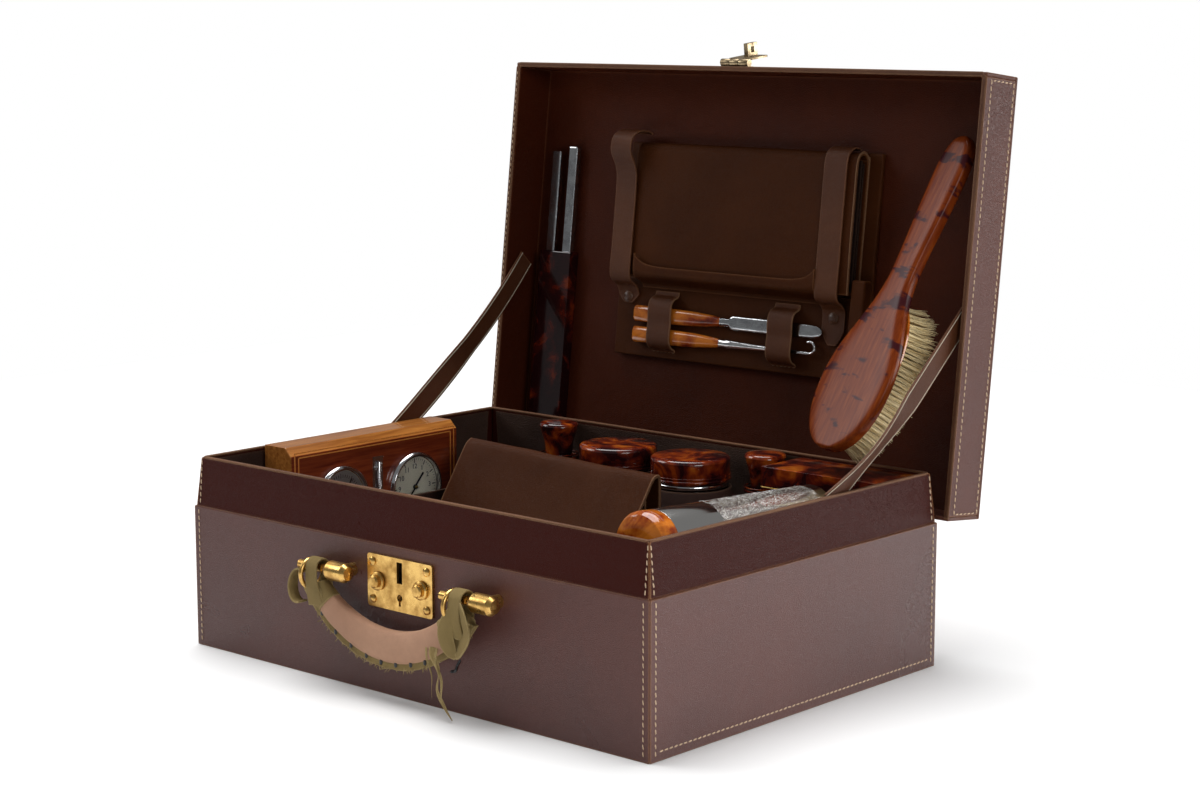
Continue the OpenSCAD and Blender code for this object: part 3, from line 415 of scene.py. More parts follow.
def brush_shell(turn_by, place_at):
    """Tortoiseshell in the brush's own space: fine lengthwise streaks and dark cross blotches."""
    material, tree, sockets = new_material("brush_tortoiseshell", Roughness=0.24,
                                           Specular_IOR_Level=0.14)
    turned = add(tree, "Mapping", {0: own_place(tree), "Location": tuple(place_at * 0.001),
                 "Rotation": Matrix(turn_by.tolist()).to_euler()}, vector_type="TEXTURE").outputs[0]
    streaks = noise(tree, stretched(tree, turned, (1.0, 0.1, 1.0)), 420.0, 4.0, 0.6)
    blots = noise(tree, stretched(tree, turned, (0.6, 1.5, 0.6)), 48.0, 3.0, 0.6, 0.3)
    base = ramp(tree, streaks, (0.3, (0.11, 0.015, 0.002)), (0.5, (0.16, 0.027, 0.004)),
                (0.7, (0.22, 0.046, 0.007)))
    blotch = ramp(tree, blots, (0.56, BLACK), (0.61, WHITE))
    feed(tree, sockets, Base_Color=mix_colour(tree, blotch, base, (0.04, 0.006, 0.008)))
    return material


def wood_finish():
    """Mahogany: long streaks along Y, ochre on the top and the back, red on the face at +X. The
    ochre is partly the wood's colour and partly painted light, lighter as if lit from above.
    """
    material, tree, sockets = new_material("inlaid_wood", Roughness=0.2, Coat_Weight=0.6,
                                           Coat_Roughness=0.08)
    streak = noise(tree, stretched(tree, own_place(tree), (1.0, 0.06, 1.0)), 340.0, 5.0, 0.65, 0.4)
    top = ramp(tree, streak, (0.3, (0.24, 0.07, 0.012)), (0.7, (0.56, 0.22, 0.045)))
    red = ramp(tree, streak, (0.3, (0.10, 0.012, 0.005)), (0.7, (0.26, 0.045, 0.012)))
    facing = add(tree, "SeparateXYZ", {0: add(tree, "NewGeometry").outputs["Normal"]}).outputs[0]
    side = maths(tree, "GREATER_THAN", facing, 0.85)
    # Painted light: every face but the front at +X gets the lighter ochre, as the top lit from
    # above.
    feed(tree, sockets, Base_Color=mix_colour(tree, side, top, red),
         Normal=bump(tree, streak, 0.0001))
    return material


def plain(name, colour, rough=0.5, grain=400.0, spread=0.25, depth=0.00005, **more):
    """A plain finish with a slight drift of its colour and a fine bump."""
    material, tree, sockets = new_material(name, Roughness=rough, **more)
    drift = noise(tree, own_place(tree), grain, 4.0, 0.6)
    shade = tuple(c * (1 - spread) for c in colour)
    feed(tree, sockets, Base_Color=ramp(tree, drift, (0.3, shade), (0.7, colour)),
         Normal=bump(tree, drift, depth))
    return material


WOOD = wood_finish()
GLASS = new_material("clear_glass", Base_Color=(0.995, 1.0, 0.998), Roughness=0.03, IOR=1.45,
                     Transmission_Weight=1.0)[0]
THREAD = plain("cream_thread", (0.68, 0.49, 0.32), 0.7, 1500.0, 0.4, 0.0001)
PALE_THREAD = plain("pale_thread", (0.6, 0.52, 0.4), 0.7, 1500.0, 0.4, 0.0001)
GAUGE = plain("silvered_dial", (0.5, 0.5, 0.5), 0.38, 60.0, 0.2, Metallic=0.6)
PAPER = plain("old_paper", (0.62, 0.5, 0.34), 0.8, 200.0, 0.25)
DIAL = plain("cream_dial", (0.95, 0.9, 0.74), 0.35, 60.0, 0.1)
INK_AND_HOLE_SHADE = plain("black_ink_and_hole_shade", (0.012, 0.012, 0.014), 0.4, 300.0, 0.2)
BRISTLE = plain("bristle", (1.0, 0.82, 0.46), 0.5, 900.0, 0.3)
INLAY = plain("orange_inlay", (0.85, 0.3, 0.06), 0.3, 900.0, 0.3)
floor.data.materials.append(plain("studio_floor", (0.86, 0.86, 0.86), 0.6, 3.0, 0.01))
print("all finishes:", len(bpy.data.materials))

# %% [markdown]
# CAD meshes are loose triangles with knife-sharp edges. A Weld and a Bevel modifier join the
# triangles and round the edges, which catches the light as a real edge does.

# %% Dress the solids that keep their shape
def dress(names, material, edge=0.0, segments=2):
    """Gives CAD nodes their material, and rounds their edges by edge metres."""
    for name in names.split():
        node = NODES[name]
        node.data.materials.clear()
        node.data.materials.append(material)
        if edge:
            weld = node.modifiers.new("weld", "WELD")
            weld.merge_threshold = 0.00001
            bevel = node.modifiers.new("bevel", "BEVEL")
            bevel.width = edge
            bevel.segments = segments
            bevel.limit_method = "ANGLE"
            bevel.angle_limit = math.radians(35)


dress("base_front base_back base_left base_right", CASE_LEATHER, 0.0009, 3)
dress("lid_top lid_front lid_back lid_left lid_right", LID_LEATHER, 0.0011, 3)
dress("base_floor jar_tray pocket_panels", TRAY_LEATHER, 0.0006)
dress("lock_plate hinge_base_leaves hinge_lid_leaves", BRASS, 0.0003)
dress("lock_screws left_lock_knob right_lock_knob handle_mounts handle_rings hinge_pins", BRASS)
dress("hasp_plate hasp_leaf", BRONZE, 0.0003)
dress("hasp_pin lock_case", BRONZE)
dress("file_handle hook_handle", AMBER_SHELL, 0.0003)
dress("file_blade hook_shank", CHROME, 0.0002)
dress("combs", STEEL, 0.0012, 3)
dress("clock_case", WOOD, 0.0008, 3)
dress("dial_bezels thermometer", CHROME, 0.0003)
dress("dials", DIAL)
dress("hour_hand minute_hand", INK_AND_HOLE_SHADE)
dress("dial_glasses cream_jars scent_bottles", GLASS)
dress("tube_body", ENGRAVED, 0.0004)
dress("tube_cap", AMBER_SHELL, 0.0004)
dress("left_scent_cap right_scent_cap left_jar_lid right_jar_lid", JAR_SHELL, 0.0006, 3)
dress("long_box long_box_lid", JAR_SHELL, 0.003, 4)
dress("comb_sheath", DARK_SHELL, 0.001, 3)
dress("wallet_board wallet_cover wallet_straps strap_snaps tool_loops", WALLET_LEATHER, 0.0005)
dress("wallet_papers", PAPER)
dress("folded_case", WALLET_LEATHER, 0.002, 3)
dress("left_stay right_stay", STRAP_LEATHER)
dress("handle_grip", GRIP_LEATHER, 0.001)
dress("brush_back", AMBER_SHELL)
dress("brush_bristles", BRISTLE)
print("dressed", len(NODES), "CAD nodes")

# %% [markdown]
# The soft and the fine pieces are surfaces over a grid. A grid of points is worked out as one
# array, in millimetres as on a drawing, and is closed into a skin. Three kinds of skin are
# enough: rings carried along a path, two sheets back to back, and a box with round edges.

# %% Skins from arrays
def stack(*values):
    """Numbers and arrays of matching shapes, joined along a new last direction."""
    return np.stack(np.broadcast_arrays(*values), -1)


def grid_faces(rows, columns, wrap_rows=False, wrap_columns=False):
    """Corner numbers of a grid's quads. A wrapped direction joins its last line to its first."""
    i, j = np.meshgrid(np.arange(rows - 1 + wrap_rows), np.arange(columns - 1 + wrap_columns),
                       indexing="ij")
    below, right = (i + 1) % rows, (j + 1) % columns
    corners = [i * columns + j, i * columns + right, below * columns + right, below * columns + j]
    return stack(*corners).reshape(-1, 4)


def skin(rings, closed_path=False):
    """Rings of points joined into a tube, closed by a fan to the middle of each end ring."""
    rows, columns = rings.shape[:2]
    points = rings.reshape(-1, 3)
    sides = grid_faces(rows, columns, closed_path, True)
    if closed_path:
        return points, [sides]
    spin = np.arange(columns)
    after = (spin + 1) % columns
    last = (rows - 1) * columns
    start_fan = stack(after, spin, rows * columns)
    end_fan = stack(spin + last, after + last, rows * columns + 1)
    points = np.concatenate([points, rings[:1].mean(1), rings[-1:].mean(1)])
    return points, [sides, start_fan, end_fan]


def shell(outer, inner):
    """Two grids of one size, back to back, with a wall along their four borders."""
    rows, columns = outer.shape[:2]
    numbers = np.arange(rows * columns).reshape(rows, columns)
    border = np.concatenate([numbers[0, :-1], numbers[:-1, -1], numbers[-1, :0:-1],
                             numbers[:0:-1, 0]])
    after, there = np.roll(border, -1), rows * columns
    front = grid_faces(rows, columns)
    wall = stack(after, border, border + there, after + there)
    points = np.concatenate([outer.reshape(-1, 3), inner.reshape(-1, 3)])
    return points, [front, front[:, ::-1] + there, wall]


def sweep(path, section, side, size=1.0, closed_path=False):
    """A closed section (a, b) carried along a path: path + a * side + b * (side x tangent)."""
    if closed_path:
        tangent = np.roll(path, -1, 0) - np.roll(path, 1, 0)
    else:
        tangent = np.gradient(path, axis=0)
    tangent = tangent / np.linalg.norm(tangent, axis=1, keepdims=True)
    side = np.broadcast_to(np.asarray(side, float), path.shape)
    side = side - (side * tangent).sum(1, keepdims=True) * tangent
    side = side / np.linalg.norm(side, axis=1, keepdims=True)
    across = np.cross(side, tangent)
    size = np.broadcast_to(size, len(path))[:, None, None]
    rings = path[:, None] + size * (section[None, :, :1] * side[:, None]
                                    + section[None, :, 1:] * across[:, None])
    return skin(rings, closed_path)


def flat_section(width, thick, count=28, power=5.0):
    """A strap's section: a superellipse, |a / half width|^p + |b / half thickness|^p = 1."""
    turn = np.linspace(0, 2 * np.pi, count, endpoint=False)
    wave = stack(np.cos(turn), np.sin(turn))
    return np.sign(wave) * np.abs(wave) ** (2 / power) * [width / 2, thick / 2]


def lathe(profile, turn_by=None, place=(0, 0, 0), segments=40):
    """A profile of (radius, height) spun about Z, turned by a matrix and set in its place."""
    profile = np.asarray(profile, float)
    angle = np.linspace(0, 2 * np.pi, segments, endpoint=False)
    rings = stack(profile[:, :1] * np.cos(angle), profile[:, :1] * np.sin(angle), profile[:, 1:])
    if turn_by is not None:
        rings = rings @ np.asarray(turn_by, float).T
    return skin(rings + np.asarray(place, float))


def soft_box(low, high, radius, cells=10):
    """A lattice on a cube's faces, clipped to an inner box and pushed out again by the radius."""
    low, high = np.asarray(low, float), np.asarray(high, float)
    steps = radius * np.array([0, 0.22, 0.5, 0.8])
    lines = [np.concatenate([low[k] + steps, np.linspace(low[k] + radius, high[k] - radius, cells),
                             high[k] - steps[::-1]]) for k in range(3)]
    points, faces = [], []
    for axis in range(3):
        u, v = (axis + 1) % 3, (axis + 2) % 3
        for level in (low[axis], high[axis]):
            flat = np.empty((len(lines[u]), len(lines[v]), 3))
            flat[..., axis] = level
            flat[..., u], flat[..., v] = np.meshgrid(lines[u], lines[v], indexing="ij")
            quads = grid_faces(*flat.shape[:2])
            faces.append((quads if level == low[axis] else quads[:, ::-1])
                         + sum(len(p) for p in points))
            points.append(flat.reshape(-1, 3))
    merged, numbers = np.unique(np.concatenate(points).round(6), axis=0, return_inverse=True)
    inner = np.clip(merged, low + radius, high - radius)
    away = merged - inner
    reach = np.maximum(np.linalg.norm(away, axis=1, keepdims=True), 1e-9)
    return inner + radius * away / reach, [numbers.ravel()[f] for f in faces]


def moved(part, place):
    """The same skin with its points sent through a function."""
    points, faces = part
    return place(points), faces


def new_piece(name, body, material, parts, replaces=(), sharp=40, place=None):
    """One mesh from closed skins in millimetres, sent into place by a function.

    A skin's volume is the sum of p0 . (p1 x p2) over its triangles. A skin whose volume comes
    out negative is turned outwards."""
    points, faces, count = [], [], 0
    for part_points, part_faces in parts:
        if place:
            part_points = place(part_points)
        volume = sum(np.einsum("ij,ij->", part_points[f[:, 0]],
                               np.cross(part_points[f[:, k]], part_points[f[:, k + 1]]))
                     for f in part_faces for k in range(1, f.shape[1] - 1))
        faces += [(f if volume > 0 else f[:, ::-1]) + count for f in part_faces]
        points.append(part_points)
        count += len(part_points)
    mesh = bpy.data.meshes.new(name)
    mesh.vertices.add(count)
    mesh.vertices.foreach_set("co", (np.concatenate(points) * 0.001).ravel())
    corners = np.concatenate([f.ravel() for f in faces])
    sizes = np.concatenate([np.full(len(f), f.shape[1]) for f in faces])
    mesh.loops.add(len(corners))
    mesh.loops.foreach_set("vertex_index", corners.astype(np.int32))
    mesh.polygons.add(len(sizes))
    mesh.polygons.foreach_set("loop_start", (np.cumsum(sizes) - sizes).astype(np.int32))
    mesh.update(calc_edges=True)
    mesh.validate()
    mesh.polygons.foreach_set("use_smooth", np.ones(len(mesh.polygons), bool))
    mesh.set_sharp_from_angle(angle=math.radians(sharp))
    mesh.materials.append(material)
    piece = new_object(name, mesh)
    if body:
        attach(piece, body)
    if replaces:
        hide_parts(*replaces)
    print(name, len(mesh.polygons), "faces")
    return piece


def rotation(axis, degrees):
    """The matrix of a turn about the X, Y or Z axis (0, 1 or 2)."""
    c, s = math.cos(math.radians(degrees)), math.sin(math.radians(degrees))
    u, v = (axis + 1) % 3, (axis + 2) % 3
    matrix = np.eye(3)
    matrix[u, u], matrix[u, v], matrix[v, u], matrix[v, v] = c, -s, s, c
    return matrix


LEAN, LID_DEPTH = math.radians(6.6), 35.5
HINGE_Y, HINGE_Z = 151.2, 100


def on_lid(points):
    """Points (x, up from the hinge, out of the lining) of the open lid, in the model's frame."""
    x, up, out = np.moveaxis(np.asarray(points, float), -1, 0)
    return stack(x, HINGE_Y + math.sin(LEAN) * up + math.cos(LEAN) * (LID_DEPTH - out),
                 HINGE_Z + math.cos(LEAN) * up - math.sin(LEAN) * (LID_DEPTH - out))


def smooth_path(points, count=40):
    """A curve through the points: each coordinate eased by a Catmull-Rom cubic between them."""
    points = np.asarray(points, float)
    ends = np.concatenate([2 * points[:1] - points[1:2], points, 2 * points[-1:] - points[-2:-1]])
    place = np.linspace(0, len(points) - 1 - 1e-9, count)
    i = place.astype(int)
    t = (place - i)[:, None]
    a, b, c, d = ends[i], ends[i + 1], ends[i + 2], ends[i + 3]
    return 0.5 * (2 * b + (c - a) * t + (2 * a - 5 * b + 4 * c - d) * t ** 2
                  + (3 * b - a - 3 * c + d) * t ** 3)


def crumple(a, b, seed, height, scale=1.0):
    """A smooth uneven height: a sum of sine waves with seeded directions and phases."""
    draw = np.random.default_rng(seed)
    total = np.zeros(np.broadcast(a, b).shape)
    for wave in range(1, 9):
        heading, phase = draw.uniform(0, 2 * np.pi, 2)
        step = wave ** 0.9 * scale * 0.03
        total += np.sin(step * (a * np.cos(heading) + b * np.sin(heading)) + phase) / wave
    return height * total / 2


# %% [markdown]
# The case is sewn by hand with cream thread. A stitch is a small slanted grain that stands
# half out of the leather. One grain of fifteen faces is copied along every seam at once.

# %% Stitching
def grains(centres, along, out, length, width):
    """Ellipsoid grains: centre + along * l cos p + (side, out) * w sin p, in two rings of five."""
    spin = np.arange(5) * 2 * np.pi / 5
    rings = np.concatenate([stack(s * 0.55, 0.84 * np.cos(spin), 0.84 * np.sin(spin))
                            for s in (-1, 1)])
    shape = np.concatenate([rings, [[-1, 0, 0], [1, 0, 0]]]) * [length / 2, width / 2, width / 2]
    side = np.cross(out, along)
    points = (centres[:, None] + shape[None, :, :1] * along[:, None]
              + shape[None, :, 1:2] * side[:, None] + shape[None, :, 2:] * out[:, None])
    j, k = np.arange(5), (np.arange(5) + 1) % 5
    quads = stack(j, k, k + 5, j + 5)
    fans = np.concatenate([stack(k, j, 10), stack(j + 5, k + 5, 11)])
    shift = (np.arange(len(centres)) * 12)[:, None, None]
    return points.reshape(-1, 3), [(quads + shift).reshape(-1, 4), (fans + shift).reshape(-1, 3)]


def seam(start, end, out, pitch=4.4, length=3.5, width=1.15, slant=9):
    """A straight row of stitches from start to end, on a surface that faces out."""
    start, end, out = (np.asarray(v, float) for v in (start, end, out))
    reach = np.linalg.norm(end - start)
    count = max(2, int(reach / pitch))
    heading = (end - start) / reach
    out = out / np.linalg.norm(out)
    draw = np.random.default_rng(int(abs(start).sum() * 7 + abs(end).sum()))
    lean = np.radians(slant + draw.normal(0, 4, count))[:, None]
    along = np.cos(lean) * heading + np.sin(lean) * np.cross(out, heading)
    centres = start + (end - start) * ((np.arange(count) + 0.5) / count)[:, None]
    return grains(centres, along, np.broadcast_to(out, centres.shape), length, width)


def wall_seams():
    """Rows up both edges of each wall of the case, on the straight part and the leaning band."""
    rows = []
    for half, other, axis in ((148.5, 210, 1), (210, 148.5, 0)):
        for facing in (-1, 1):
            for edge in (-1, 1):
                def place(depth, height):
                    point = [facing * depth, edge * (other - 5.2), height]
                    return point[axis::-1] + point[axis + 1:]
                out = [(1 - axis) * facing, axis * facing, 0]
                rows.append(seam(place(half, 3), place(half, 98), out))
                rows.append(seam(place(half - 1.4, 101), place(half - 4.2, 132), out))
            if not axis:
                rows.append(seam([facing * half, -140, 6], [facing * half, 140, 6], out))
    return rows


new_piece("case_stitches", "case", THREAD, wall_seams())
lid_rows = []
for side in (-1, 1):
    x = side * 216.5
    lid_rows += [seam([x, 4, out], [x, 298, out], [side, 0, 0]) for out in (29.5, 2.0)]
    lid_rows += [seam([x, up, 4], [x, up, 28], [side, 0, 0]) for up in (5, 297)]
    lid_rows.append(seam([side * 211, 5, -3], [side * 211, 296, -3], [0, 0, -1]))
lid_rows += [seam([-211, 302, out], [211, 302, out], [0, 1, 0]) for out in (29.5, 2.0)]
lid_rows += [seam([-207, up, -3], [207, up, -3], [0, 0, -1]) for up in (5, 296)]
lid_rows.append(seam([-214.3, 6, 36.1], [-214.3, 296, 36.1], [0, 0, 1], 4.4, 3.0, 0.8))
new_piece("lid_stitches", "lid", THREAD, lid_rows, place=on_lid)

# %% [markdown]
# Both rims are bound with a narrow turned edge, rubbed through to tan. It is a flat section
# carried round the rim. The lid's is open at the hinge side.

# %% Bound rims
def round_rectangle(half_x, half_y, radius, count=9):
    """Corners of a rectangle as quarter circles, in order, each with count points."""
    turn = np.linspace(0, np.pi / 2, count)
    corners = []
    for quarter, (sx, sy) in enumerate(((1, 1), (-1, 1), (-1, -1), (1, -1))):
        angle = turn + quarter * np.pi / 2
        corners.append(stack(sx * (half_x - radius) + radius * np.cos(angle),
                             sy * (half_y - radius) + radius * np.sin(angle)))
    return np.concatenate(corners)


rim = round_rectangle(204.45, 142.95, 3.0)
rim = np.concatenate([np.linspace(rim[k], rim[(k + 1) % len(rim)], 12, endpoint=False)
                      if (k + 1) % 9 == 0 else rim[k:k + 1] for k in range(len(rim))])
height = 133.45 + crumple(rim[:, 0], rim[:, 1], 3, 0.12, 3)
new_piece("case_rim", "case", EDGE_LEATHER, [sweep(np.column_stack([rim, height]),
          flat_section(1.7, 3.0, 20, 3.0), (0, 0, 1), closed_path=True)])
lid_edge = [[-214.5, 1.9], [-214.5, 150], [-214.5, 298], [-212.5, 300.4], [-100, 300.5],
            [0, 300.5], [100, 300.5], [212.5, 300.4], [214.5, 298], [214.5, 150], [214.5, 1.9]]
lid_edge = np.concatenate([np.linspace(a, b, 14, endpoint=False)
                           for a, b in zip(lid_edge[:-1], lid_edge[1:])] + [[lid_edge[-1]]])
lid_edge = np.column_stack([lid_edge, 35.12 + crumple(lid_edge[:, 0], lid_edge[:, 1], 5, 0.12, 3)])
new_piece("lid_rim", "lid", EDGE_LEATHER,
          [sweep(lid_edge, flat_section(1.5, 3.6, 20, 3.0), (0, 0, 1))], place=on_lid)

# %% [markdown]
# The lining is a thin goatskin glued to the inside. It isn't quite flat: a sum of slow waves
# lifts it by a fraction of a millimetre, so the light breaks up on it as on the real one.

# %% Lining
def lining_sheet(low, high, up_to, lift, place, seed, count=(70, 50)):
    """A thin closed sheet over the rectangle low..high, lift above a wall, sent into place."""
    a, b = np.meshgrid(np.linspace(low[0], high[0], count[0]),
                       np.linspace(low[1], high[1], count[1]), indexing="ij")
    top = lift + crumple(a, b, seed, up_to, 4) * np.minimum(1, 0.1 * np.minimum.reduce(
        [a - low[0], high[0] - a, b - low[1], high[1] - b]))
    return shell(place(a, b, top), place(a, b, 0 * a + 0.05))


SIDE_SHEET = (3.6, 0.8), (298, 34.6), 0.1, 0.4
lid_lining = [lining_sheet((-212.3, 3.6), (212.3, 298.7), 0.14, 0.28, stack, 11, (110, 80)),
              lining_sheet((-212, 0.8), (212, 34.6), 0.1, 0.4,
                           lambda a, b, c: stack(a, 299.0 - c, b), 12, (90, 14)),
              lining_sheet(*SIDE_SHEET, lambda a, b, c: stack(-212.5 + c, a, b), 13, (80, 14)),
              lining_sheet(*SIDE_SHEET, lambda a, b, c: stack(212.5 - c, a, b), 14, (80, 14))]
new_piece("lid_lining", "lid", LINING, lid_lining, place=on_lid)


def leaning(height):
    """How far the inner face of the band has come in at a height above the ledge."""
    return (height - 99.5) * 2.8 / 34


case_lining = [lining_sheet((-199, 93), (199, 131.5), 0.05, 0.25, place, seed, (80, 12))
               for seed, place in ((21, lambda a, b, c: stack(a, 144.5 - leaning(b) - c, b)),
                                   (22, lambda a, b, c: stack(a, -144.5 + leaning(b) + c, b)))]
case_lining += [lining_sheet((-138, 93), (138, 131.5), 0.05, 0.2, place, seed, (60, 12))
                for seed, place in ((23, lambda a, b, c: stack(-206 + leaning(b) + c, a, b)),
                                    (24, lambda a, b, c: stack(206 - leaning(b) - c, a, b)))]
new_piece("case_lining", "case", WORN_LINING, case_lining)

# %% [markdown]
# Two leather straps hold the lid back. Each is a flat band that sags and twists a little. It
# bends between the case and the lid, so it is blended across the hinge.

# %% Stay straps
STRAP_BAND = flat_section(16.0, 1.7, 30, 6.0)


def stay_strap(sign, twist, section=STRAP_BAND, shift=0.0):
    """The strap's middle line: height eased from rim to lid less a sag of 34 t (1 - t)."""
    t = np.linspace(0, 1, 60)
    y = 36 + 152.3 * t
    z = 128 + 118.7 * t - 34 * t * (1 - t)
    x = sign * (201.6 + (z - 128) * 8.3 / 118.7 + 1.6 * np.sin(np.pi * t) * np.sin(5 * t))
    heading = stack(0, -np.gradient(z, t), np.gradient(y, t))
    heading /= np.linalg.norm(heading, axis=1, keepdims=True)
    turn = (twist * np.sin(np.pi * np.minimum(1, t / 0.55)) * (t < 0.55))[:, None]
    side = np.cos(turn) * heading + np.sin(turn) * np.array([sign, 0.0, 0.0])
    return sweep(stack(x, y, z), section + [shift, 0], side)


for name, sign, twist in (("left_strap", -1, 0.35), ("right_strap", 1, 0.5)):
    node = name.replace("strap", "stay")
    strap = new_piece(name, None, STRAP_LEATHER, [stay_strap(sign, twist)], (node,))
    lines = [stay_strap(sign, twist, flat_section(0.8, 2.1, 10, 3.0), shift)
             for shift in (-6.6, 6.6)]
    creases = new_piece(name + "_creases", None, PALE_THREAD, lines)
    for piece in (strap, creases):
        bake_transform(piece)

# %% [markdown]
# The handle is a stuffed crescent of pinkish leather in an older sleeve of olive canvas. The
# canvas shows along the lower edge, where the lacing has gone and its holes are left, and at
# both ends, where it wraps the brass spindles. One strip of it hangs torn to the floor.

# %% Handle
GRIP_MID, GRIP_Y = -1.0, -160.5


def grip_edges(f):
    """The two arcs of the crescent at f = -1..1: z = centre - sqrt(r^2 - x^2), inner and outer."""
    inner = stack(GRIP_MID + 60 * f, 136.3 - np.sqrt(88.3 ** 2 - (60 * f) ** 2))
    outer = stack(GRIP_MID + 79.5 * f, 120.5 - np.sqrt(97.5 ** 2 - (79.5 * f) ** 2))
    return inner, outer


def crescent(span, v_low, v_high, half, ragged=0.0, seed=1):
    """Rings across the crescent: out along v on the front at y - half(v), back on the rear."""
    f = np.linspace(*span, 90)
    v = np.linspace(v_low, v_high, 22)
    inner, outer = grip_edges(f)
    loop = np.concatenate([v, v[::-1]])
    thick = np.concatenate([-half(v, f[:, None]), half(v, f[:, None])[:, ::-1]], 1)
    reach = (outer - inner)[:, None] * loop[None, :, None]
    fray = ragged * crumple(f[:, None] * 90, loop[None] * 6, seed, 1.0, 14) * (loop > v_high - 0.12)
    flat = inner[:, None] + reach * (1 + fray[..., None])
    dent = crumple(flat[..., 0], flat[..., 1], seed + 3, 0.35, 3)
    return skin(stack(flat[..., 0], GRIP_Y + thick - 0.5 * dent, flat[..., 1]))


def stuffed(v, f):
    """Half the crescent's thickness: a round core up to v = 0.8, thinner at both its edges."""
    core = np.sqrt(np.maximum(0, 1 - ((v - 0.4) / 0.44) ** 2))
    return (1.1 + 4.5 * core) * (1 - 0.12 * f ** 2)


new_piece("grip_leather", "grip", GRIP_LEATHER, [crescent((-0.9, 0.84), 0.0, 0.83, stuffed)],
          ("handle_grip",), 60)
margin = crescent((-1, 1), 0.72, 1.0,
                  lambda v, f: 1.9 + 0.6 * np.sqrt(np.maximum(0, 1 - v)) + 0 * f, 0.018, 4)
sleeves = [crescent((-1.0, -0.82), -0.04, 0.95, lambda v, f: stuffed(v, f) + 0.7, 0.01, 5),
           crescent((0.80, 1.0), -0.04, 0.97, lambda v, f: stuffed(v, f) + 0.8, 0.01, 6)]
band = lambda width, thick=1.7: flat_section(width, thick, 26, 5.0)


def wrap(x, lean):
    """The canvas over a spindle: up the front, round its top, and down behind."""
    turn = np.linspace(0, np.pi, 14)
    arc = stack(GRIP_Y - 6.1 * np.cos(turn), 79 + 6.1 * np.sin(turn))
    flat = np.concatenate([[[GRIP_Y - 4.2, 55], [GRIP_Y - 6.6, 66], [GRIP_Y - 6.9, 73]], arc,
                           [[GRIP_Y + 5.8, 70], [GRIP_Y + 4, 58]]])
    path = smooth_path(np.column_stack([x + lean * (79 - flat[:, 1]), flat]), 60)
    return sweep(path, band(10.5), (1, 0, 0), np.interp(path[:, 2], [55, 62, 72], [1.5, 1.3, 1.0]))


curl = np.linspace(-1.9, 2.1, 40)
curl = stack(-83.5 - 8.5 * np.cos(curl), GRIP_Y - 1 + 1.5 * np.sin(curl), 65 + 11 * np.sin(curl))
leaf_a = smooth_path([[67, -166.2, 76], [62, -168.4, 67], [59.5, -168.6, 57], [62, -167.3, 47],
                      [65, -165, 42]], 40)
leaf_b = smooth_path([[70, -166.8, 77], [76, -169.3, 69], [78.5, -169.4, 60], [72, -168, 50],
                      [66, -166.2, 44]], 40)
swell = np.sin(np.pi * np.linspace(0.12, 0.93, 40)) ** 0.7
loops = [wrap(-67.5, 0.12), wrap(65.5, -0.05), sweep(curl, band(8.5, 1.5), (0, 1, 0)),
         sweep(leaf_a, band(11, 1.4), (0.92, 0.38, 0), swell),
         sweep(leaf_b, band(15, 1.4), (0.85, -0.5, 0.1), swell)]
torn = smooth_path([[44, -164.6, 47], [47, -167.6, 41], [52.7, -168.4, 31.5], [49.8, -167, 19.3],
                    [56.6, -167.4, 9.4], [62.5, -166.5, 1.6]], 60)
thin = smooth_path([[47, -165, 45], [51, -168.6, 37], [54.5, -168, 27], [54, -167.6, 18],
                    [53.5, -167, 11]], 50)
turning = lambda n, turns: stack(np.cos(np.linspace(0, turns, n)),
                                 np.sin(np.linspace(0, turns, n)), 0.2)
loops += [sweep(torn, band(5.2, 0.7), turning(60, 5), np.linspace(1, 0.22, 60)),
          sweep(thin, band(3.2, 0.6), turning(50, -4), np.linspace(1, 0.15, 50)),
          sweep(thin + [-9, 0.4, 1.5], band(1.6, 0.6), turning(50, 3), np.linspace(1, 0.1, 50))]
draw = np.random.default_rng(8)
root = draw.uniform(-0.96, 0.99, 90)
_, low_edge = grip_edges(root)
fuzz_at = np.column_stack([low_edge[:, 0], GRIP_Y + draw.uniform(-3.5, 1, 90), low_edge[:, 1]])
fuzz_to = draw.normal(0, 0.55, (90, 3)) + [0, -0.3, -0.5]
fuzz_to /= np.linalg.norm(fuzz_to, axis=1, keepdims=True)
fuzz_out = np.cross(fuzz_to, [0.3, 0.9, 0.2])
fuzz_out /= np.linalg.norm(fuzz_out, axis=1, keepdims=True)
fuzz = grains(fuzz_at, fuzz_to, fuzz_out, 6.0, 0.45)
new_piece("handle_canvas", "grip", FRAYED, [margin] + sleeves + loops + [fuzz], sharp=50)
# The lace holes are black grains on the canvas: their darkness is painted shade for the empty
# holes.
f = np.array([-0.62, -0.43, -0.24, -0.06, 0.12, 0.30, 0.47, 0.60, -0.80])
inner, outer = grip_edges(f)
holes = inner + (outer - inner) * np.array([.86, .84, .85, .86, .85, .84, .86, .70, .8])[:, None]
holes = np.column_stack([holes[:, 0], np.full(9, GRIP_Y - 2.6), holes[:, 1]])
to_front = np.array([[0.0, -1.0, 0.0]])
new_piece("lace_hole_shade", "grip", INK_AND_HOLE_SHADE,
          [grains(holes, np.repeat([[0.0, 0.0, -1.0]], 9, 0), np.repeat(to_front, 9, 0), 4.2, 2.6)])
stain = [grains(np.array([[48.8, -148.4, 29.9], [50.5, -148.5, 33], [45.9, -148.4, 26.8]]),
                np.array([[0.3, 0, 0.954], [0.6, 0, 0.8], [0.95, 0, 0.312]]),
                np.repeat(to_front, 3, 0), length, 2.6) for length in (7.0, 4.5)]
new_piece("wax_drip", "case", INK_AND_HOLE_SHADE, stain)

